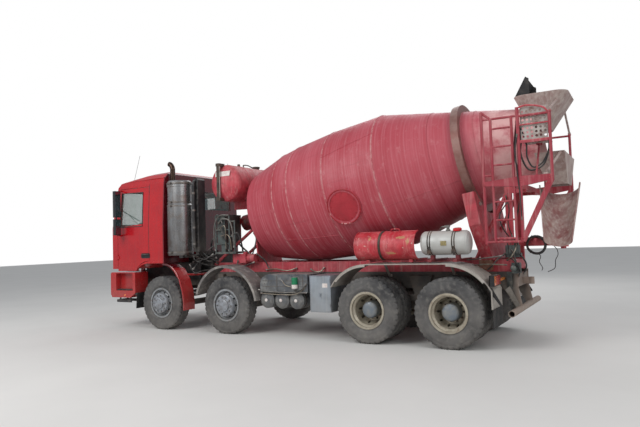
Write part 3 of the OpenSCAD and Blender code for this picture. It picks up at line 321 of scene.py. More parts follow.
# The finishes of the slots, and those of details that wear in more ways
PAINTS = [
    Finish("cab_red", (182, 10, 22), 0.24).shade("Coat Weight", 0.5).shade("Coat Roughness", 0.12)
    .mottle((158, 10, 24), 2, 0.5).streaks((150, 60, 62), 0.22).low_dust((150, 92, 84), 0.6, 1.55, 0.55)
    # Painted shade: the dark red zone from X 2.8 to 3.1 paints shade onto the cab's rear wall
    .zone((92, 12, 22), "X", 2.8, 3.1, 0.02).zone((24, 24, 26), "Y", 1.262, 2)
    .zone((24, 24, 26), "Y", -2, -1.262).gloss(0.16).bumps(3, 0.002, 0.12),
    drum_red(),
    faded_red("mixer_red", (186, 60, 72), 0.5),
    faded_red("bracket_red", (150, 36, 40), 0.35),
    faded_red("ladder_red", (150, 40, 56), 0.35),
    Finish("frame_paint", (46, 44, 46), 0.7).mottle((84, 74, 68), 6, 0.7)
    .zone((150, 130, 118), "X", -4.3, -3.7, 0.05).mottle(RUST, 14, 0.35, 0.55, 0.68)
    .low_dust(DUST, 0.1, 1.5, 0.8).gloss(0.2).bumps(80, 0.0015, 0.5),
    Finish("engine_iron", (72, 70, 68), 0.6, 0.3).mottle((34, 32, 31), 7, 0.8)
    .gloss(0.3).bumps(60, 0.002, 0.5),
    Finish("lamp_lens", (196, 60, 34), 0.18).zone((220, 224, 226), "X", 4, 5)
    .zone((230, 130, 40), "X", -3.6, -3.4).shade("Coat Weight", 0.8).low_dust(DUST, 0.5, 1.3, 0.4)
    .bumps(300, 0.0008, 0.4),
    Finish("guard_plastic", (160, 153, 144), 0.62).zone((84, 80, 82), "X", 0.5, 3.3)
    .mottle((122, 116, 110), 4, 0.6).mottle((190, 184, 176), 11, 0.4, 0.5, 0.66)
    .streaks((104, 98, 92), 0.35).low_dust(PALE_DUST, 0.4, 1.5, 0.45).gloss(0.2).bumps(150, 0.0006, 0.5),
    Finish("exhaust_steel", (160, 160, 160), 0.3, 0.85).mottle((112, 108, 106), 3, 0.7)
    .streaks((92, 80, 70), 0.5).mottle((128, 96, 66), 5, 0.3, 0.5, 0.66)
    .low_dust((70, 60, 54), 1.5, 2.3, 0.8).zone((66, 50, 42), "Z", 3.05, 3.6)
    .gloss(0.25).bumps(30, 0.001, 0.3),
    Finish("black_plastic", (26, 26, 28), 0.45).mottle((58, 55, 54), 5, 0.6).low_dust(DUST, 0.8, 2.4, 0.35)
    .top_dust(PALE_DUST, 0.3).gloss(0.2).bumps(260, 0.0004, 0.4),
    Finish("drive_paint", (78, 86, 84), 0.48).zone((160, 44, 54), "Y", -0.6, 0.237)
    .mottle((42, 40, 38), 6, 0.8).mottle((132, 126, 114), 10, 0.4, 0.52, 0.68)
    .gloss(0.35).bumps(50, 0.0015, 0.5),
    Finish("plate_metal", (176, 168, 162), 0.6).mottle((132, 108, 100), 8, 0.7)
    .mottle(RUST, 16, 0.5, 0.56, 0.7).gloss(0.2).bumps(60, 0.001, 0.5),
    Finish("worn_steel", (158, 134, 128), 0.66).mottle((184, 170, 162), 5, 0.8)
    .mottle((126, 92, 86), 9, 0.5, 0.5, 0.68).streaks((204, 194, 186), 0.5, 3, 0.46, 0.72)
    .streaks((118, 92, 86), 0.3, 5).gloss(0.2).bumps(26, 0.006, 0.6, detail=7),
    Finish("flap_rubber", (24, 24, 25), 0.7).mottle((70, 66, 62), 8, 0.6).gloss(0.2).bumps(90, 0.0015, 0.5),
    Finish("tank_metal", (74, 80, 88), 0.5, 0.15).mottle((120, 120, 118), 6, 0.5)
    .mottle((54, 54, 56), 10, 0.5, 0.52, 0.68).zone((186, 186, 182), "X", -3.3, -2.3)
    .mottle((168, 166, 160), 8, 0.35, 0.5, 0.66).zone((128, 50, 54), "Z", 1.3, 1.412)
    .low_dust(DUST, 0.3, 1.2, 0.5).top_dust(PALE_DUST, 0.5).gloss(0.25).bumps(45, 0.001, 0.4),
    Finish("box_aluminium", (158, 166, 174), 0.38, 0.55).mottle((128, 134, 140), 4, 0.6)
    .streaks((184, 186, 186), 0.4).low_dust(DUST, 0.4, 1, 0.5).gloss(0.2).bumps(90, 0.0006, 0.3),
    Finish("window_glass", (104, 128, 120), 0.05).shade("Alpha", 0.3).shade("Specular IOR Level", 0.8)
    .mottle((140, 150, 144), 3, 0.3),
    Finish("interior_plastic", (44, 44, 48), 0.7).mottle((60, 60, 64), 12, 0.5).bumps(320, 0.0005, 0.4),
    Finish("chute_steel", (150, 112, 108), 0.65).mottle((184, 168, 158), 4, 0.75)
    .streaks((208, 198, 188), 0.5, 3, 0.46, 0.72).mottle((134, 56, 56), 9, 0.5, 0.54, 0.66)
    .gloss(0.2).bumps(24, 0.006, 0.6, detail=7),
    Finish("rod_chrome", (206, 206, 206), 0.12, 1).mottle((160, 156, 150), 12, 0.4).gloss(0.1),
    Finish("tyre_rubber", (50, 50, 52), 0.85).mottle((104, 102, 100), 3, 0.75, 0.3, 0.66)
    .mottle((132, 128, 122), 14, 0.4, 0.5, 0.72).low_dust((140, 134, 126), -0.1, 0.9, 0.45)
    .bumps(120, 0.0015, 0.5),
    Finish("blade_steel", (128, 122, 116), 0.5, 0.5).mottle(GREY_CEMENT, 6, 0.8)
    .gloss(0.2).bumps(40, 0.003, 0.5),
    Finish("hose_rubber", (30, 30, 32), 0.55).mottle((84, 78, 74), 9, 0.5)
    .gloss(0.15).bumps(220, 0.0006, 0.4),
    Finish("chipped_red", (158, 22, 36), 0.45).mottle((120, 16, 26), 12, 0.5)
    .chips((214, 160, 158), 9, 0.6, 0.66, 0.8).gloss(0.2).bumps(70, 0.001, 0.5),
    Finish("spare_red", (186, 44, 56)).mottle((206, 92, 96), 4, 0.6).mottle((140, 22, 32), 7, 0.5)
    .streaks((214, 150, 144), 0.35).spot(-2.12, 1.705, 0.075, 0.022).spot(-1.93, 1.462, 0.085, 0.02)
    .spot(-2.24, 1.64, 0.03, 0.05).spot(-1.58, 1.7, 0.03, 0.03).chips((214, 196, 180), 14, 0.64, 0.67)
    .chips((110, 58, 46), 22, 0.66, 0.69).gloss(0.2).bumps(50, 0.0012, 0.4),
    rim_paint("rim_silver", (146, 150, 154), (112, 110, 106)),
    rim_paint("rim_cream", (176, 168, 150), (140, 130, 112)),
    lens("amber_lens", (232, 120, 30)), lens("red_lens", (206, 52, 40)),
    lens("deep_red_lens", (170, 22, 26)), lens("clear_lens", (214, 220, 226), 0.06),
]
FINISHES = {paint.name: paint.done() for paint in PAINTS + [plain(*row) for row in PLAIN]}

# Nodes that wear another finish than the one of their slot
OWN_FINISH = {"spare_chutes": "spare_red", "rear_ladder": "ladder_red", "drum_ring": "ring_steel"}


def dress_nodes():
    slot_of = {part["node"]: part["material_slot"] for part in frame["record"]["subparts"]}
    for name, node in frame["nodes"].items():
        node.data.materials.clear()
        node.data.materials.append(FINISHES[OWN_FINISH.get(name, slot_of[name])])


# Meshes. An edge over this many degrees stays sharp on a smooth piece or on a tread
SHARP_EDGE = 38
SHARP_TREAD = 34
# Pieces of a curve between two of its points
CURVE_STEPS = 6


def smooth_piece(name, verts, faces, finish, sharp=SHARP_EDGE):
    """A smooth mesh in one finish, with its sharp edges kept."""
    data = bpy.data.meshes.new(name)
    data.from_pydata([tuple(v) for v in verts], [], faces)
    data.validate()
    data.materials.append(FINISHES[finish])
    for face in data.polygons:
        face.use_smooth = True
    work = bmesh.new()
    work.from_mesh(data)
    bmesh.ops.recalc_face_normals(work, faces=work.faces)
    for edge in work.edges:
        if len(edge.link_faces) == 2 and edge.calc_face_angle(0.0) > math.radians(sharp):
            edge.smooth = False
    work.to_mesh(data)
    work.free()
    return placed(name, data)


def smooth_route(points):
    """A smooth curve through the points, as a list of points."""
    knots = [Vector(p) for p in points]
    knots = [2 * knots[0] - knots[1]] + knots + [2 * knots[-1] - knots[-2]]
    route = []
    for a, b, c, d in zip(knots, knots[1:], knots[2:], knots[3:]):
        for i in range(CURVE_STEPS):
            t = i / CURVE_STEPS
            route.append(0.5 * (2 * b + (c - a) * t + (2 * a - 5 * b + 4 * c - d) * t ** 2
                                + (3 * b - a - 3 * c + d) * t ** 3))
    return route + [knots[-2]]


def turned_axes(direction):
    """This direction at length one, and two directions square to it and to each other."""
    ahead = Vector(direction).normalized()
    other = UP if abs(ahead.z) < 0.9 else AHEAD
    first = ahead.cross(other).normalized()
    return ahead, first, ahead.cross(first)


def circle(center, first, second, radius, count, phase=0.0):
    """Points round a center, from the first direction towards the second."""
    turns = [2 * math.pi * (k + phase) / count for k in range(count)]
    return [center + radius * (math.cos(turn) * first + math.sin(turn) * second) for turn in turns]


def strips(rows, count, closed=False):
    """Faces that join each row of this many points to the next, with a face at either end unless closed."""
    faces = []
    for i in range(rows if closed else rows - 1):
        j = (i + 1) % rows
        faces += [(i * count + k, i * count + (k + 1) % count, j * count + (k + 1) % count, j * count + k)
                  for k in range(count)]
    if not closed:
        last = (rows - 1) * count
        faces += [tuple(range(count - 1, -1, -1)), tuple(range(last, last + count))]
    return faces


class Shape:
    """Gathers simple solids that share a finish and a body into one mesh."""

    def __init__(self):
        self.verts = []
        self.faces = []

    def add(self, verts, faces):
        start = len(self.verts)
        self.verts += [Vector(v) for v in verts]
        self.faces += [tuple(start + k for k in face) for face in faces]
        return self

    def plate(self, outline, y_low, y_high):
        """An outline in X and Z, as thick as the two heights along Y."""
        return self.add([(x, y, z) for y in (y_low, y_high) for x, z in outline], strips(2, len(outline)))

    def box(self, low, high):
        outline = [(low[0], low[2]), (high[0], low[2]), (high[0], high[2]), (low[0], high[2])]
        return self.plate(outline, low[1], high[1])

    def bar(self, route, radius, sides=6, closed=False):
        """A round bar along straight lines from point to point."""
        route = [Vector(p) for p in route]
        n = len(route)
        verts = []
        side = None
        for i, point in enumerate(route):
            if closed:
                ahead = route[(i + 1) % n] - route[i - 1]
            else:
                ahead = route[min(i + 1, n - 1)] - route[max(i - 1, 0)]
            ahead.normalize()
            if side is None:
                side = turned_axes(ahead)[1]
            side = (side - ahead * side.dot(ahead)).normalized()
            verts += circle(point, side, ahead.cross(side), radius, sides)
        return self.add(verts, strips(n, sides, closed))

    def tube(self, points, radius, sides=6):
        """A round bar along a smooth curve through the points."""
        return self.bar(smooth_route(points), radius, sides)

    def lathe(self, profile, base, direction, sides=24):
        """A profile of (radius, height) turned about a direction from the base point, with closed ends."""
        ahead, first, second = turned_axes(direction)
        verts = []
        for radius, height in profile:
            verts += circle(Vector(base) + ahead * height, first, second, radius, sides)
        return self.add(verts, strips(len(profile), sides))

    def band(self, center, direction, foot, radius, half, bevel, sides):
        """A band round a tank, with the radius of its foot and its own, half its width and its bevel."""
        profile = [(foot, -half), (radius, bevel - half), (radius, half - bevel), (foot, half)]
        return self.lathe(profile, center, direction, sides)

    def hoop(self, center, direction, big, small, steps, sides):
        """A round bar bent into a ring."""
        first, second = turned_axes(direction)[1:]
        return self.bar(circle(Vector(center), first, second, big, steps), small, sides, True)

    def nuts(self, center, direction, radius, count, size, height, phase=0.0):
        """A ring of nuts or bolt heads that stand along the direction."""
        ahead, first, second = turned_axes(direction)
        for place in circle(Vector(center), first, second, radius, count, phase):
            self.lathe([(size, 0), (size, height * 0.8), (size * 0.8, height)], place, ahead, 6)
        return self

    def mirrored(self):
        """The same again on the other side of the truck."""
        start = len(self.verts)
        self.verts += [Vector((v.x, -v.y, v.z)) for v in self.verts]
        self.faces += [tuple(start + k for k in reversed(face)) for face in self.faces]
        return self

    def make(self, name, finish, body="chassis"):
        piece = smooth_piece(name, self.verts, self.faces, finish)
        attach(piece, body)


# Tyres with grooves and shoulder blocks, in place of the plain CAD ones
TREAD_STEPS = 216
GROOVE = 0.014
# How deep the shoulder's two points and the one beside them are cut between the blocks
SHOULDER_CUTS = (GROOVE, GROOVE, 0.9 * GROOVE)


def tyre_mesh(center, phase):
    half, r, bead = TYRE_WIDTH / 2, TYRE_RADIUS, BEAD_RADIUS
    profile = [(bead, half - 0.024), (bead + 0.02, half - 0.024), (bead + 0.034, half - 0.024),
               (bead + 0.045, half - 0.015), (bead + 0.06, half - 0.008), (r - 0.16, half - 0.001),
               (r - 0.15, half - 0.004), (r - 0.135, half - 0.001), (r - 0.1, half - 0.0015),
               (r - 0.07, half - 0.004), (r - 0.062, half - 0.008), (r - 0.052, half - 0.006)]
    shoulder = len(profile)
    profile += [(r - 0.022, half - 0.012), (r, half - 0.034)]
    for outer, inner in ((0.082, 0.07), (0.03, 0.02)):
        profile += [(r, outer), (r - GROOVE, outer - 0.002), (r - GROOVE, inner + 0.002), (r, inner)]
    profile += [(radius, -across) for radius, across in reversed(profile)]
    count = len(profile)
    verts = []
    for i in range(TREAD_STEPS):
        angle = 2 * math.pi * i / TREAD_STEPS + phase
        for k, (radius, across) in enumerate(profile):
            # The shoulder is cut for two steps in six, on the left and on the right in turn
            place = min(k, count - 1 - k) - shoulder
            if place in (0, 1, 2) and i % 6 in ((0, 1) if k < count / 2 else (3, 4)):
                radius -= SHOULDER_CUTS[place]
            verts.append((center[0] + radius * math.cos(angle), center[1] + across,
                          center[2] + radius * math.sin(angle)))
    return verts, strips(TREAD_STEPS, count, closed=True)


def tyres():
    for axle, side, sign, x in WHEELS:
        rows = [FRONT_Y] if axle < 3 else [TWIN_Y - TWIN_GAP / 2, TWIN_Y + TWIN_GAP / 2]
        treads = Shape()
        for n, y in enumerate(rows):
            treads.add(*tyre_mesh((x, sign * y, AXLE_Z), 0.4 * n + axle))
        word = "tyre" if axle < 3 else "tyres"
        piece = smooth_piece(f"tread_{axle}_{side}", treads.verts, treads.faces, "tyre_rubber", SHARP_TREAD)
        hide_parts(f"{word}_{axle}_{side}")
        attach(piece, f"wheel_{axle}_{side}")


def drum_at(station, radius, angle):
    """A point on the drum: the angle is counted from the top towards the left side."""
    turn = math.radians(angle)
    return DRUM_POINT + DRUM_AXIS * station + radius * (math.cos(turn) * DRUM_UP + math.sin(turn) * LEFT)


def drum_radius(station):
    for (a, low), (b, high) in zip(DRUM_PROFILE, DRUM_PROFILE[1:]):
        if a <= station <= b:
            return low + (high - low) * (station - a) / (b - a)
    return DRUM_PROFILE[-1][1]


# Details of the drum: weld beads, the cover of the manhole with its bead, and bolts of the front flange
def drum_details():
    beads = Shape()
    for station in (-1.26, -0.9, -0.11, 0.87, 1.75, 2.45):
        beads.hoop(DRUM_POINT + DRUM_AXIS * station, DRUM_AXIS, drum_radius(station) + 0.001, 0.0055, 128, 6)
    for start, end, angle, lean in ((-0.1, 0.86, 62, -9), (-1.25, -0.12, 128, 5), (0.88, 2.1, 118, 0),
                                    (-0.1, 0.86, 242, 6), (0.88, 2.1, 295, 0)):
        route = []
        for k in range(13):
            station = start + (end - start) * k / 12
            route.append(drum_at(station, drum_radius(station) + 0.001, angle + lean * k / 12))
        beads.bar(route, 0.0045)
    beads.make("drum_weld_beads", "drum_red", "drum")
    station, angle = 0.19, 109
    face = drum_at(station, 1.205, angle)
    out = (face - drum_at(station, 0, angle)).normalized()
    Shape().hoop(face, out, 0.3, 0.015, 72, 10).make("manhole_bead", "chipped_red", "drum")
    lid = Shape().lathe([(0.262, -0.01), (0.262, -0.004), (0.252, -0.001), (0, 0.003)], face, out, 64)
    lid.make("manhole_cover", "cover_red", "drum")
    Shape().nuts(face + out * -0.004, out, 0.235, 12, 0.011, 0.008).make("manhole_bolts", "chipped_red", "drum")
    flange = Shape().nuts(DRUM_POINT + DRUM_AXIS * -2.196, -DRUM_AXIS, 0.17, 16, 0.014, 0.018)
    flange.make("drum_flange_bolts", "dark_steel", "drum")


# Wheel nuts, hub bolts, and the hub's face on a front wheel or its dome on a rear one
def wheel_details():
    face = [(0.212, -0.004), (0.208, 0.03), (0.196, 0.056), (0.186, 0.06), (0.122, 0.06), (0.116, 0.066),
            (0.112, 0.092), (0.1, 0.098), (0, 0.099)]
    dome = [(0.14, 0.035), (0.138, 0.045), (0.137, 0.176), (0.132, 0.192), (0.12, 0.204), (0.098, 0.212),
            (0.064, 0.218), (0.03, 0.2195), (0, 0.2195)]
    for axle, side, sign, x in WHEELS:
        out = Vector((0, sign, 0))
        body = f"wheel_{axle}_{side}"
        if axle < 3:
            center = Vector((x, sign * (FRONT_Y + 0.131), AXLE_Z))
            Shape().lathe(face, center, out, 56).make(f"hub_face_{axle}_{side}", "front_hub", body)
            nuts = Shape().nuts(center + out * 0.06, out, 0.16, 10, 0.017, 0.026)
            nuts.nuts(center + out * 0.098, out, 0.082, 8, 0.008, 0.008)
            nuts.make(f"wheel_nuts_{axle}_{side}", "bright_steel", body)
        else:
            center = Vector((x, sign * TWIN_Y, AXLE_Z))
            nuts = Shape().nuts(center + out * 0.007, out, 0.157, 10, 0.017, 0.028)
            nuts.make(f"wheel_nuts_{axle}_{side}", "dark_steel", body)
            hub = Shape().lathe(dome, center, out, 48).nuts(center + out * 0.206, out, 0.108, 10, 0.008, 0.008)
            hub.make(f"hub_dome_{axle}_{side}", "hub_grey", body)


# Handles, mirror glasses and window seals of the doors
def door_details():
    side = CAB_SIDE
    recess = [(3.475, 1.47), (3.5, 1.455), (3.71, 1.455), (3.735, 1.47), (3.745, 1.515), (3.72, 1.56),
              (3.5, 1.56), (3.475, 1.54)]
    window = [(4.365, 2.13), (4.335, 2.86), (3.69, 2.85), (3.69, 2.13)]
    for sign, word in ((1, "left"), (-1, "right")):
        door = f"{word}_door"
        plate = Shape().plate(recess, sign * (side - 0.002), sign * (side + 0.003))
        plate.make(f"handle_recess_{word}", "black_trim", door)
        grip = Shape().bar([(3.5, sign * side, 1.525), (3.515, sign * (side + 0.022), 1.528),
                            (3.7, sign * (side + 0.022), 1.528), (3.715, sign * side, 1.525)], 0.011, 8)
        grip.lathe([(0.012, 0), (0.012, 0.004), (0.009, 0.006)], (3.715, sign * (side + 0.002), 1.487),
                   (0, sign, 0), 16)
        grip.make(f"door_grip_{word}", "dark_trim", door)
        glass = Shape()
        for low, high in ((1.975, 2.285), (2.355, 2.885)):
            glass.box((4.226, sign * 1.302, low), (4.2295, sign * 1.438, high))
        glass.make(f"mirror_glass_{word}", "mirror", door)
        # Above the waist the door leans in, and the seal with it
        seal = [(x, sign * (side - max(0, (z - 2.15) * 0.05 / 0.85) + 0.0015), z) for x, z in window]
        Shape().bar(seal, 0.011, 6, True).make(f"window_seal_{word}", "black_trim", door)


# The cab's seams, gutters, aerials, wipers and lamps, and the splash shields under it
def cab_details():
    seam = Shape().bar([(3.506, CAB_SIDE - 0.003, 1.48), (3.506, CAB_SIDE - 0.003, 2.15),
                        (3.506, CAB_SIDE - 0.052, 3)], 0.007)
    seam.mirrored().make("door_seams", "black_trim", "cab")
    shields = Shape().box((2.72, 0.5, 0.98), (4.35, 0.506, 1.325)).box((2.14, 0.47, 0.6), (2.46, 0.56, 0.95))
    shields.bar([(2.1, 0.5, 0.8), (1.95, 0.5, 0.72)], 0.03, 12)
    shields.mirrored().make("splash_shields", "dark_trim")
    gutter = Shape().tube([(3.09, 1.128, 3.115), (3.5, 1.128, 3.115), (4.25, 1.128, 3.08), (4.42, 1.14, 2.99)], 0.01)
    gutter.mirrored().make("roof_gutters", "cab_red", "cab")
    aerials = Shape().tube([(4.23, 0.93, 3.11), (4.235, 0.9, 3.2), (4.15, 0.895, 3.45), (4.07, 0.89, 3.7)], 0.0035)
    aerials.tube([(3.14, -0.9, 3.22), (3.12, -0.9, 3.4), (3.08, -0.9, 3.62)], 0.003)
    for foot in ((4.235, 0.925, 3.12), (3.14, -0.9, 3.2)):
        aerials.lathe([(0.022, -0.02), (0.018, 0.03), (0.008, 0.05)], foot, UP, 12)
    aerials.make("aerials", "black_trim", "cab")
    wipers = Shape()
    for y in (-0.85, -0.25, 0.35):
        foot = Vector((CAB_FRONT + 0.012, y, 2.13))
        tip = Vector((CAB_FRONT - 0.045, y + 0.42, 2.42))
        wipers.tube([foot, (foot + tip) / 2 + AHEAD * 0.02, tip], 0.007)
        wipers.bar([tip + Vector((0.012, -0.3, -0.13)), tip + Vector((-0.006, 0.2, 0.09))], 0.009)
        wipers.lathe([(0.022, -0.02), (0.022, 0.01), (0.012, 0.02)], foot, AHEAD, 16)
    wipers.make("wipers", "black_trim", "cab")
    lamps = Shape()
    for y in (-0.55, -0.25, 0, 0.25, 0.55):
        lamps.lathe([(0.03, -0.02), (0.03, 0.012), (0.02, 0.022), (0, 0.025)], (4.47, y, 3.015), (1, 0, 0.3), 16)
    lamps.make("roof_lamps", "amber_lens", "cab")
    edges = Shape()
    for z in (1.262, 2.06):
        edges.bar([(CAB_FRONT + 0.012, -0.9, z), (CAB_FRONT + 0.012, 0.9, z)], 0.012, 8)
    edges.make("grille_edges", "bright_steel", "cab")


# Steps, flaps and lamps of the bumper, and the edges of the first fenders
def bumper_details():
    steps = Shape().box((4.01, 0.98, 0.565), (4.46, 1.235, 0.585))
    for y in (0.98, 1.225):
        steps.box((4.01, y, 0.53), (4.46, y + 0.015, 0.585))
    for x in (4.06, 4.38):
        for y in (1, 1.19):
            steps.box((x, y, 0.56), (x + 0.03, y + 0.02, 0.66))
    for k in range(7):
        steps.box((4.02, 1 + 0.032 * k, 0.584), (4.45, 1.008 + 0.032 * k, 0.59))
    steps.mirrored().make("lower_steps", "dark_trim")
    flaps = Shape().plate([(3.865, 0.41), (3.84, 0.7), (3.852, 0.7), (3.878, 0.41)], 0.93, 1.235)
    flaps.plate([(3.845, 0.68), (3.83, 0.735), (3.9, 0.735), (3.885, 0.68)], 0.93, 1.235)
    flaps.mirrored().make("bumper_flaps", "flap_rubber")
    treads = Shape()
    for z in (0.788, 0.8):
        treads.box((3.98, 1.13, z - 0.004), (4.45, 1.245, z + 0.002))
    for k in range(6):
        treads.box((4 + 0.075 * k, 1.135, 0.802), (4.04 + 0.075 * k, 1.243, 0.807))
    treads.mirrored().make("step_treads", "dark_trim")
    lamps, rings = Shape(), Shape()
    for y, size in ((0.9, 0.062), (1.06, 0.05)):
        lamps.lathe([(size, 0), (size, 0.01), (size * 0.9, 0.016), (0, 0.02)], (4.6395, y, 0.83), AHEAD, 32)
        rings.hoop((4.641, y, 0.83), AHEAD, size + 0.004, 0.006, 40, 6)
    lamps.mirrored().make("head_lamps", "clear_lens")
    rings.mirrored().make("head_lamp_rings", "bright_steel")
    marker = Shape().lathe([(0.02, 0), (0.02, 0.008), (0.012, 0.014), (0, 0.015)], (4.19, 1.2495, 0.68), LEFT, 16)
    marker.mirrored().make("side_markers", "amber_lens")
    fender = [(3.05, 1.335), (2.9, 1.31), (2.74, 1.21), (2.61, 1.02), (2.53, 0.78), (2.5, 0.56), (2.5, 0.41)]
    Shape().tube([(x, 1.25, z) for x, z in fender], 0.012).mirrored().make("fender_edges", "cab_red")


# Bands and seam of the muffler, collar of the stack, clamps and louvres of the air intake
def stack_details():
    x, y = 2.81, 0.985
    bands = Shape()
    for z, r in ((1.56, 0.2615), (2.5, 0.2615), (2.58, 0.2505), (2.965, 0.2605)):
        bands.band((x, y, z), UP, r - 0.006, r, 0.018, 0.004, 72)
        bands.box((x - 0.02, y + r - 0.004, z - 0.02), (x + 0.02, y + r + 0.022, z + 0.02))
        bands.bar([(x - 0.04, y + r + 0.01, z), (x + 0.04, y + r + 0.01, z)], 0.006)
    bands.make("muffler_bands", "band_steel")
    Shape().box((x - 0.2, y + 0.155, 1.53), (x - 0.192, y + 0.163, 2.52)).make("muffler_seam", "band_steel")
    Shape().hoop((2.98, 1, 3.035), UP, 0.056, 0.008, 32, 8).make("stack_collar", "heat_steel")
    clamps = Shape()
    for z in (1.72, 2.05, 2.4, 2.75):
        clamps.band((2.44, 0.975, z), UP, 0.0335, 0.037, 0.02, 0.004, 24)
    clamps.make("duct_clamps", "band_steel")
    fins = Shape()
    for k in range(11):
        z = 1.66 + 0.122 * k
        fins.box((2.362, 0.919, z), (2.498, 0.924, z + 0.075))
    fins.make("intake_louvres", "dark_trim")


# Hoses and pipes: the radius of each, and the points that it passes
HOSES = [
    (0.016, (2.3, 0.44, 1.3), (2.42, 0.62, 1.42), (2.52, 0.78, 1.33), (2.6, 0.86, 1.2)),
    (0.014, (2.28, 0.44, 1.24), (2.4, 0.7, 1.28), (2.55, 0.84, 1.38), (2.66, 0.8, 1.47)),
    (0.013, (2.12, 0.6, 1.52), (2.28, 0.74, 1.44), (2.42, 0.8, 1.56), (2.58, 0.76, 1.45)),
    (0.012, (2.1, 0.66, 1.7), (2.24, 0.76, 1.6), (2.36, 0.74, 1.44), (2.5, 0.7, 1.3)),
    (0.018, (2.12, 0.5, 1.92), (2.26, 0.62, 1.8), (2.32, 0.6, 1.6), (2.3, 0.5, 1.4)),
    (0.01, (2.16, 0.74, 1.5), (2.3, 0.82, 1.4), (2.44, 0.84, 1.42), (2.62, 0.84, 1.35)),
    (0.012, (2.35, 0.44, 1.18), (2.5, 0.66, 1.16), (2.62, 0.8, 1.12), (2.72, 0.84, 1.3)),
    (0.011, (2.2, 0.52, 1.36), (2.34, 0.7, 1.36), (2.48, 0.74, 1.5), (2.6, 0.7, 1.42)),
    (0.012, (1.76, 0.72, 1.56), (1.78, 0.78, 1.75), (1.86, 0.775, 1.95), (1.9, 0.76, 2.16)),
    (0.016, (1.5, 0.6, 1.52), (1.46, 0.7, 1.72), (1.52, 0.74, 1.9), (1.64, 0.76, 1.86)),
    (0.014, (2.08, 0.6, 2.2), (2.16, 0.6, 2.3), (2.2, 0.4, 2.26), (2.14, 0.2, 2.1)),
    (0.018, (1.9, 0.28, 1.74), (1.8, 0.24, 1.62), (1.62, 0.3, 1.52), (1.46, 0.4, 1.46)),
    (0.013, (1.3, 0.56, 1.46), (1.2, 0.62, 1.6), (1.24, 0.5, 1.78), (1.4, 0.36, 1.9)),
    (0.014, (1.24, 0.5, 1.48), (1.1, 0.55, 1.42), (1.02, 0.52, 1.34), (0.95, 0.5, 1.2)),
    (0.013, (1.6, 0.64, 1.36), (1.54, 0.72, 1.28), (1.38, 0.7, 1.26), (1.22, 0.6, 1.32)),
    (0.009, (-0.085, 1.17, 0.865), (-0.12, 1.2, 0.82), (-0.24, 1.2, 0.86), (-0.32, 1.17, 0.95)),
    (0.013, (-3.6, 0.46, 1.5), (-3.7, 0.6, 1.42), (-3.74, 0.62, 1.24), (-3.7, 0.5, 1.12)),
    (0.011, (-3.62, 0.5, 1.34), (-3.72, 0.66, 1.3), (-3.78, 0.6, 1.16), (-3.74, 0.46, 1.05)),
    (0.011, (-3.56, 0.52, 1.4), (-3.48, 0.68, 1.32), (-3.4, 0.72, 1.22), (-3.3, 0.6, 1.16)),
    (0.012, (-3.66, 0.42, 1.44), (-3.8, 0.5, 1.36), (-3.86, 0.46, 1.22), (-3.8, 0.4, 1.08)),
    (0.013, (-3.965, 1.12, 3.36), (-3.99, 1.1, 3.05), (-3.97, 1.08, 2.86), (-4.03, 1.06, 2.66),
     (-4.12, 1.05, 2.6), (-4.27, 1.06, 2.67), (-4.35, 1.09, 2.86), (-4.37, 1.12, 3.02)),
    (0.012, (-3.985, 1.13, 3.25), (-4.05, 1.06, 3), (-4.05, 1.04, 2.8), (-4.12, 1.03, 2.65),
     (-4.24, 1.03, 2.69), (-4.32, 1.06, 2.8), (-4.38, 1.12, 2.92)),
    (0.012, (-3.94, 1.12, 3.32), (-3.9, 1.09, 3.05), (-3.88, 1.08, 2.84), (-3.93, 1.1, 2.62),
     (-3.96, 1.13, 2.5)),
    (0.01, (-3.95, 1.17, 3.12), (-3.92, 1.19, 2.9), (-3.93, 1.19, 2.6), (-3.95, 1.175, 2.3),
     (-3.96, 1.17, 1.9)),
    (0.012, (-3.96, 1.11, 2.3), (-3.9, 1.02, 2.1), (-3.82, 0.9, 1.86), (-3.78, 0.7, 1.66), (-3.76, 0.52, 1.54)),
    (0.009, (-3.6, 0.45, 2.3), (-3.66, 0.54, 2.1), (-3.64, 0.56, 1.86), (-3.68, 0.5, 1.66)),
    (0.01, (-3.62, 0.46, 2.2), (-3.52, 0.56, 2), (-3.56, 0.58, 1.8), (-3.66, 0.5, 1.62)),
]
GREY_PIPES = [
    (0.015, (1.6, 0.755, 1.62), (1.62, 0.765, 1.95), (1.7, 0.765, 2.16), (1.88, 0.76, 2.2), (2, 0.74, 2.12)),
    (0.012, (2.08, 0.755, 1.56), (2.1, 0.765, 1.8), (2.08, 0.765, 2.1), (1.95, 0.76, 2.27),
     (1.72, 0.755, 2.27)),
    (0.01, (0.72, 1.16, 0.84), (0.52, 1.185, 0.812), (0.1, 1.19, 0.8), (-0.33, 1.17, 0.8)),
    (0.01, (-3.05, 0.8, 1.325), (-3.3, 0.84, 1.345), (-3.58, 0.8, 1.38)),
]
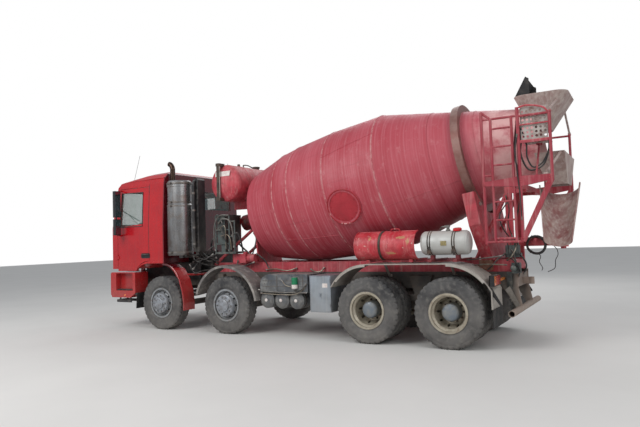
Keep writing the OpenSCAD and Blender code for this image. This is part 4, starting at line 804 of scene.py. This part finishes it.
ZINC_PIPES = [
    (0.01, (1.8, 0.762, 1.6), (1.8, 0.772, 2.02), (1.88, 0.77, 2.05), (1.96, 0.75, 1.98)),
    (0.01, (1.66, 0.765, 1.58), (1.68, 0.775, 1.8), (1.76, 0.772, 1.88), (1.92, 0.76, 1.86)),
    (0.012, (1.05, 0.455, 1.16), (0.79, 0.5, 1.18), (0.6, 0.52, 1.155), (0.49, 0.5, 1.15), (0.33, 0.455, 1.19)),
    (0.012, (0.02, 0.45, 1.17), (-0.1, 0.5, 1.13), (-0.22, 0.5, 1.13), (-0.28, 0.45, 1.2)),
    (0.008, (0.66, 1.17, 0.78), (0.3, 1.185, 0.765), (-0.1, 1.185, 0.775), (-0.3, 1.165, 0.9)),
    (0.008, (0.2, 1.165, 1.02), (0.1, 1.185, 0.93), (-0.02, 1.19, 0.9), (-0.03, 1.18, 0.87)),
    (0.01, (-3.1, 0.7, 1.235), (-3.36, 0.74, 1.25), (-3.62, 0.7, 1.235)),
    (0.01, (-3.72, 0.48, 1.56), (-3.74, 0.6, 1.48), (-3.68, 0.64, 1.36), (-3.6, 0.58, 1.3)),
]


def pipe_runs():
    for word, finish, rows in (("hoses", "black_hose", HOSES), ("grey_pipes", "pipe_grey", GREY_PIPES),
                               ("zinc_pipes", "zinc_pipe", ZINC_PIPES)):
        pipes, fittings = Shape(), Shape()
        for radius, *points in rows:
            pipes.tube(points, radius, 8)
            for end, inner in ((points[0], points[1]), (points[-1], points[-2])):
                way = Vector(inner) - Vector(end)
                wide, thin = radius * 1.45, radius * 1.15
                fittings.lathe([(wide, -0.004), (wide, 0.02), (thin, 0.026), (thin, 0.045)], end, way, 6)
        pipes.make(word, finish)
        fittings.make(f"{word}_fittings", "band_steel")


# Water tank: gauge tubes with their plates and brackets, blank label, straps and filler
def water_tank_details():
    tank = Vector((1.76, 0, 2.915))
    gauge = Shape().box((1.82, 0.899, 2.57), (1.875, 0.911, 3.31))
    for z in (2.56, 3.25):
        gauge.box((1.785, 0.76, z), (1.885, 0.919, z + 0.055))
    gauge.mirrored().make("tank_gauges", "dark_steel")
    tube = Shape().bar([(1.8, 0.905, 2.585), (1.8, 0.905, 3.27)], 0.011, 10)
    tube.mirrored().make("tank_gauge_tubes", "pale_steel")
    low, high = (0.869, 3.045), (0.853, 3.145)
    label = [(1.575, *low), (1.945, *low), (1.945, *high), (1.575, *high)]
    label += [(x, y + 0.002, z) for x, y, z in label]
    Shape().add(label, strips(2, 4)).make("tank_label", "white_paint")
    straps = Shape()
    for y in (-0.42, 0.42):
        straps.band(tank + LEFT * y, LEFT, 0.371, 0.3745, 0.03, 0.002, 72)
    straps.make("tank_straps", "mixer_red")
    filler = Shape().lathe([(0.07, -0.03), (0.07, 0.035), (0.085, 0.035), (0.085, 0.06), (0.05, 0.068)],
                           tank + Vector((0, -0.25, 0.36)), UP)
    filler.tube([(1.76, 0.16, 3.275), (1.765, 0.18, 3.33), (1.77, 0.02, 3.345), (1.8, -0.2, 3.31)], 0.012, 8)
    filler.lathe([(0.03, 0), (0.03, 0.05), (0.02, 0.06)], (1.76, 0.34, 3.28), UP, 12)
    filler.make("tank_filler", "dark_steel")


# The strapped tank above the last axle: bands with their bolts, plate, red cap and valve
def strapped_tank_details():
    x0, y, z, r = -3.18, 1, 1.6, 0.19
    bands = Shape()
    for s in (0.21, 0.245, 0.595, 0.63):
        bands.band((x0 + s, y, z), AHEAD, r - 0.002, r + 0.003, 0.011, 0.002, 64)
    for s in (0.227, 0.612):
        bands.box((x0 + s - 0.03, y + 0.165, z - 0.16), (x0 + s + 0.03, y + 0.185, z - 0.1))
        bands.bar([(x0 + s, y + 0.176, z - 0.19), (x0 + s, y + 0.188, z - 0.05)], 0.006)
    bands.make("strapped_tank_bands", "dark_steel")
    plate = Shape().box((-2.85, y + 0.1865, 1.56), (-2.76, y + 0.1925, 1.63))
    plate.nuts((-2.805, y + 0.192, 1.595), LEFT, 0.05, 4, 0.004, 0.003, 0.5).make("tank_plate", "brass")
    cap = Shape().lathe([(0.062, 0), (0.066, 0.006), (0.066, 0.03), (0.052, 0.04), (0, 0.042)],
                        (-2.99, y + 0.05, z + 0.182), (0, 0.15, 1))
    cap.make("tank_red_cap", "signal_red")
    valve = Shape().lathe([(0.036, -0.01), (0.036, 0.02), (0.024, 0.024), (0.024, 0.07)],
                          (-2.84, y + 0.03, z + 0.182), (0, 0.1, 1), 12)
    valve.box((-2.87, y + 0.02, z + 0.235), (-2.79, y + 0.06, z + 0.268))
    valve.tube([(-2.8, y + 0.04, z + 0.25), (-2.74, y + 0.03, z + 0.245), (-2.7, y - 0.02, z + 0.2),
                (-2.69, y - 0.08, z + 0.165)], 0.01, 8)
    valve.make("tank_valve", "pipe_grey")


# The air tanks on the left, the canister and ribs above them, and the door of the side box
def side_details():
    caps, bands = Shape(), Shape()
    for x in (0.56, 0.24, -0.08):
        caps.lathe([(0.03, -0.012), (0.03, 0.006), (0.018, 0.014)], (x, 1.15, 0.655), LEFT, 16)
        for y in (0.8, 1.02):
            bands.band((x, y, 0.655), LEFT, 0.15, 0.153, 0.016, 0.002, 48)
    caps.make("air_tank_caps", "white_paint")
    bands.make("air_tank_bands", "dark_steel")
    for name, finish, z, half in (("canister_band", "leaf_green", 1.007, 0.062),
                                  ("canister_label", "white_paint", 0.909, 0.033)):
        Shape().band((-0.085, 1.18, z), UP, 0.0525, 0.0535, half, 0.004, 32).make(name, finish)
    ribs = Shape().nuts((0.52, 1.16, 0.95), LEFT, 0.06, 6, 0.008, 0.008)
    for x in (0.3, -0.25):
        ribs.box((x, 1.159, 0.83), (x + 0.012, 1.164, 1.09))
    for z in (0.9, 1):
        ribs.box((-0.32, 1.159, z), (0.62, 1.163, z + 0.008))
    ribs.make("tank_box_ribs", "frame_paint")
    edge = [(-0.808, 0.492), (-0.422, 0.492), (-0.422, 1.088), (-0.808, 1.088)]
    door = Shape().bar([(x, 1.2005, z) for x, z in edge], 0.005, 6, True)
    door.box((-0.64, 1.1995, 0.7), (-0.59, 1.206, 0.8))
    door.bar([(-0.615, 1.204, 0.74), (-0.615, 1.222, 0.75), (-0.615, 1.222, 0.79), (-0.615, 1.204, 0.8)], 0.006)
    for z in (0.56, 0.98):
        door.bar([(-0.806, 1.206, z), (-0.806, 1.206, z + 0.07)], 0.009, 8)
    door.make("side_box_door", "box_aluminium")
    Shape().box((-0.76, 1.2, 0.9), (-0.66, 1.2025, 0.97)).make("side_box_plate", "white_paint")


# The spare chutes' dark strap, handles and rolled edges
def spare_chute_details():
    x0, y, z = -2.35, 1, 1.58

    def arc(x, radius):
        turns = [math.radians(angle) for angle in range(-88, 89, 8)]
        return [(x, y + radius * math.cos(turn), z + radius * math.sin(turn)) for turn in turns]

    strap = Shape()
    for shift in (-0.012, 0, 0.012):
        strap.bar(arc(x0 + 0.6 + shift, 0.232), 0.008)
    strap.make("chute_strap", "dark_steel")
    edges = Shape()
    for s in (0.01, 1.04):
        edges.bar(arc(x0 + s, 0.23), 0.01)
    for sign in (1, -1):
        edge, grip = z + sign * 0.224, z + sign * 0.262
        edges.bar([(x0 + 0.01, y + 0.004, edge), (x0 + 1.04, y + 0.004, edge)], 0.011, 8)
        foot = z + sign * 0.226
        edges.tube([(x0 + 0.3, y + 0.03, foot), (x0 + 0.32, y + 0.05, grip), (x0 + 0.44, y + 0.05, grip),
                    (x0 + 0.46, y + 0.03, foot)], 0.008)
    edges.make("spare_chute_edges", "spare_red")


# Tail lamps with their housings, rear flaps, and the valves and plates at the frame's end
def tail_details():
    housing = Shape().box((-3.485, 0.845, 0.952), (-3.475, 1.228, 1.108))
    housing.plate([(-3.475, 1.1), (-3.475, 0.96), (-3.36, 1.02)], 0.9, 0.905)
    for z in (0.952, 1.1):
        housing.box((-3.548, 0.846, z), (-3.476, 1.226, z + 0.008))
    for y in (0.842, 1.22):
        housing.box((-3.548, y, 0.952), (-3.476, y + 0.008, 1.108))
    housing.mirrored().make("tail_lamp_housings", "black_trim")
    for word, low, high, finish in (("turn", 1.125, 1.216, "amber_lens"), ("stop", 0.985, 1.12, "red_lens"),
                                    ("fog", 0.855, 0.98, "deep_red_lens")):
        glass = Shape().box((-3.548, low, 0.966), (-3.5405, high, 1.094))
        for k in range(6):
            z = 0.974 + 0.02 * k
            glass.box((-3.55, low + 0.004, z), (-3.546, high - 0.004, z + 0.01))
        glass.mirrored().make(f"tail_lens_{word}", finish)
    Shape().box((-3.535, 1.2195, 0.98), (-3.49, 1.2235, 1.08)).mirrored().make("tail_side_lens", "amber_lens")
    flaps = Shape().plate([(-3.44, 0.93), (-3.44, 0.9), (-3.62, 0.66), (-3.64, 0.68), (-3.5, 0.93)], 1.195, 1.205)
    flaps.plate([(-3.515, 0.62), (-3.5, 0.345), (-3.508, 0.345), (-3.524, 0.62)], 0.64, 1.23)
    flaps.mirrored().make("rear_flaps", "flap_rubber")
    bracket = Shape().box((-3.36, 0.44, 1.15), (-3.18, 0.62, 1.31)).box((-3.345, 0.62, 1.17), (-3.2, 0.626, 1.29))
    bracket.make("rust_bracket", "rusty_steel")
    valves = Shape()
    for k in range(4):
        x = -3.6 - 0.052 * k
        valves.box((x - 0.022, 0.435, 1.4), (x + 0.022, 0.56, 1.53))
        valves.bar([(x, 0.5, 1.53), (x - 0.012, 0.53, 1.62)], 0.007)
        valves.lathe([(0.014, 0), (0.016, 0.012), (0.009, 0.026)], (x - 0.012, 0.53, 1.615), (-0.2, 0.3, 1), 10)
    valves.box((-3.8, 0.432, 1.34), (-3.56, 0.5, 1.41)).box((-3.78, 0.44, 1.1), (-3.66, 0.58, 1.26))
    valves.lathe([(0.045, 0), (0.045, 0.1), (0.03, 0.11)], (-3.7, 0.55, 1.18), LEFT, 20)
    valves.box((-3.64, 0.436, 0.86), (-3.56, 0.47, 1.12)).make("control_valves", "drive_paint")
    plates = Shape().plate([(-3.53, 0.84), (-3.6, 0.9), (-3.74, 0.6), (-3.7, 0.55)], 0.475, 0.487)
    plates.nuts((-3.64, 0.486, 0.71), LEFT, 0.045, 6, 0.009, 0.008)
    plates.mirrored().make("underrun_plates", "pale_steel")


# The coil as one hose in turns, with its center in X and Z, in place of the plain CAD ring
COIL_CENTER = (-3.955, 1.5184)
COIL_TURNS = 6
COIL_STEPS = 48
COIL_HOSE = 0.0115


def coil_details():
    x, z = COIL_CENTER
    route = []
    for k in range(COIL_TURNS * COIL_STEPS + 1):
        lay = k / COIL_STEPS
        turn = 2 * math.pi * lay
        big = 0.142 - 0.012 * (int(lay) % 2) + 0.004 * math.sin(turn * 0.37)
        across = 0.087 + 0.0065 * lay + 0.004 * math.sin(turn * 0.5)
        route.append((x + big * math.sin(turn), across, z + big * math.cos(turn) + 0.003 * math.sin(3 * turn)))
    turns = Shape().bar(route, COIL_HOSE, 8)
    for k in (3, 19):
        turn = 2 * math.pi * k / COIL_STEPS
        turns.hoop((x + 0.136 * math.sin(turn), 0.105, z + 0.136 * math.cos(turn)),
                   (math.cos(turn), 0, -math.sin(turn)), 0.027, 0.004, 24, 6)
    turns.make("hose_turns", "hose_rubber")
    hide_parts("hose_coil")


# Bolts of the swing arm, loose wires under the coil, and nuts of the chute's pivot
def chute_details():
    arm = Shape().box((-4.3, 0.06, 1.615), (-3.72, 0.068, 1.632))
    for x in (-4.22, -4.05, -3.88):
        arm.nuts((x, 0.0605, 1.57), LEFT, 0.028, 4, 0.01, 0.01, 0.5)
    arm.make("arm_bolts", "mixer_red")
    wires = Shape().tube([(-3.99, 0.1, 1.375), (-4.012, 0.1, 1.33), (-3.99, 0.1, 1.25), (-4.032, 0.1, 1.16),
                          (-4.02, 0.1, 1.115)], 0.006)
    wires.tube([(-4.2, 0.05, 1.503), (-4.25, 0.06, 1.44), (-4.262, 0.06, 1.36), (-4.22, 0.05, 1.27),
                (-4.205, 0.05, 1.15), (-4.1, 0.05, 1.09)], 0.006)
    wires.make("loose_wires", "hose_rubber")
    nuts = Shape()
    for x, height in ((-4.39, -0.014), (-4.29, 0.014)):
        nuts.nuts((x, 0.11, 1.84), AHEAD, 0, 1, 0.022, height)
    nuts.make("pivot_nuts", "dark_steel", "chute_bracket")


# Bolts of the platform's posts, and the guard rails
def ladder_details():
    y = 1.15
    bolts = Shape()
    for x, z in ((-3.45, 2.44), (-3.96, 2.45), (-4.37, 2.48)):
        bolts.nuts((x, y + 0.0245, z), LEFT, 0.022, 4, 0.008, 0.007, 0.5)
    for x, z in ((-3.96, 1.64), (-4.33, 2.4)):
        bolts.nuts((x, y + 0.0245, z), LEFT, 0.012, 2, 0.01, 0.009)
    bolts.mirrored().make("post_bolts", "mixer_red")
    rails = Shape()
    for z in (3.02, 3.25):
        rails.bar([(-3.96, y, z), (-4.37, y, z)], 0.011, 8)
    rails.tube([(-3.96, y, 3.5), (-4.1, y + 0.01, 3.52), (-4.3, y + 0.01, 3.47), (-4.37, y, 3.4)], 0.013, 8)
    rails.make("guard_rails", "mixer_red")


# Floor and light. Each light has its place, its size in metres and its power in watts
FLOOR_HALF = 60
LIGHT_AIM = Vector((0, 0, 1.8))
LIGHTS = [((4, 11, 9), 7, 900), ((-11, 6, 8), 7, 420), ((2, -10, 9), 8, 420)]


def studio():
    data = bpy.data.meshes.new("floor")
    corners = [(FLOOR_HALF * x, FLOOR_HALF * y, 0) for x, y in ((-1, -1), (1, -1), (1, 1), (-1, 1))]
    data.from_pydata(corners, [], [(0, 1, 2, 3)])
    data.materials.append(Finish("floor", (214, 212, 208), 0.9).mottle((208, 206, 202), 0.6, 0.5).done())
    ground = placed("floor", data)
    # The camera sees a white world, also through glass, and the truck is lit by a soft pale one
    world = bpy.data.worlds.new("world")
    bpy.context.scene.world = world
    world.use_nodes = True
    tree = world.node_tree
    soft = add_node(tree, "Background", {"Color": rgb(226, 230, 236), "Strength": 0.62})
    white = add_node(tree, "Background", {"Color": (1, 1, 1, 1)})
    rays = add_node(tree, "LightPath").outputs
    seen = add_node(tree, "Math", {0: rays["Is Camera Ray"], 1: rays["Is Transmission Ray"]}, operation="MAXIMUM")
    mix = add_node(tree, "MixShader", {0: seen.outputs[0], 1: soft.outputs[0], 2: white.outputs[0]})
    feed(tree.nodes["World Output"].inputs["Surface"], mix.outputs[0])
    for n, (place, size, power) in enumerate(LIGHTS):
        data = bpy.data.lights.new(f"lamp_{n}", "AREA")
        data.size = size
        data.energy = power
        lamp = placed(f"lamp_{n}", data)
        lamp.location = place
        lamp.rotation_euler = (LIGHT_AIM - Vector(place)).to_track_quat("-Z", "Y").to_euler()
    bpy.context.scene.view_settings.view_transform = "Standard"


camera()
dress_nodes()
tyres()
for details in (drum_details, wheel_details, door_details, cab_details, bumper_details, stack_details, pipe_runs,
                water_tank_details, strapped_tank_details, side_details, spare_chute_details, tail_details,
                coil_details, chute_details, ladder_details):
    details()
studio()
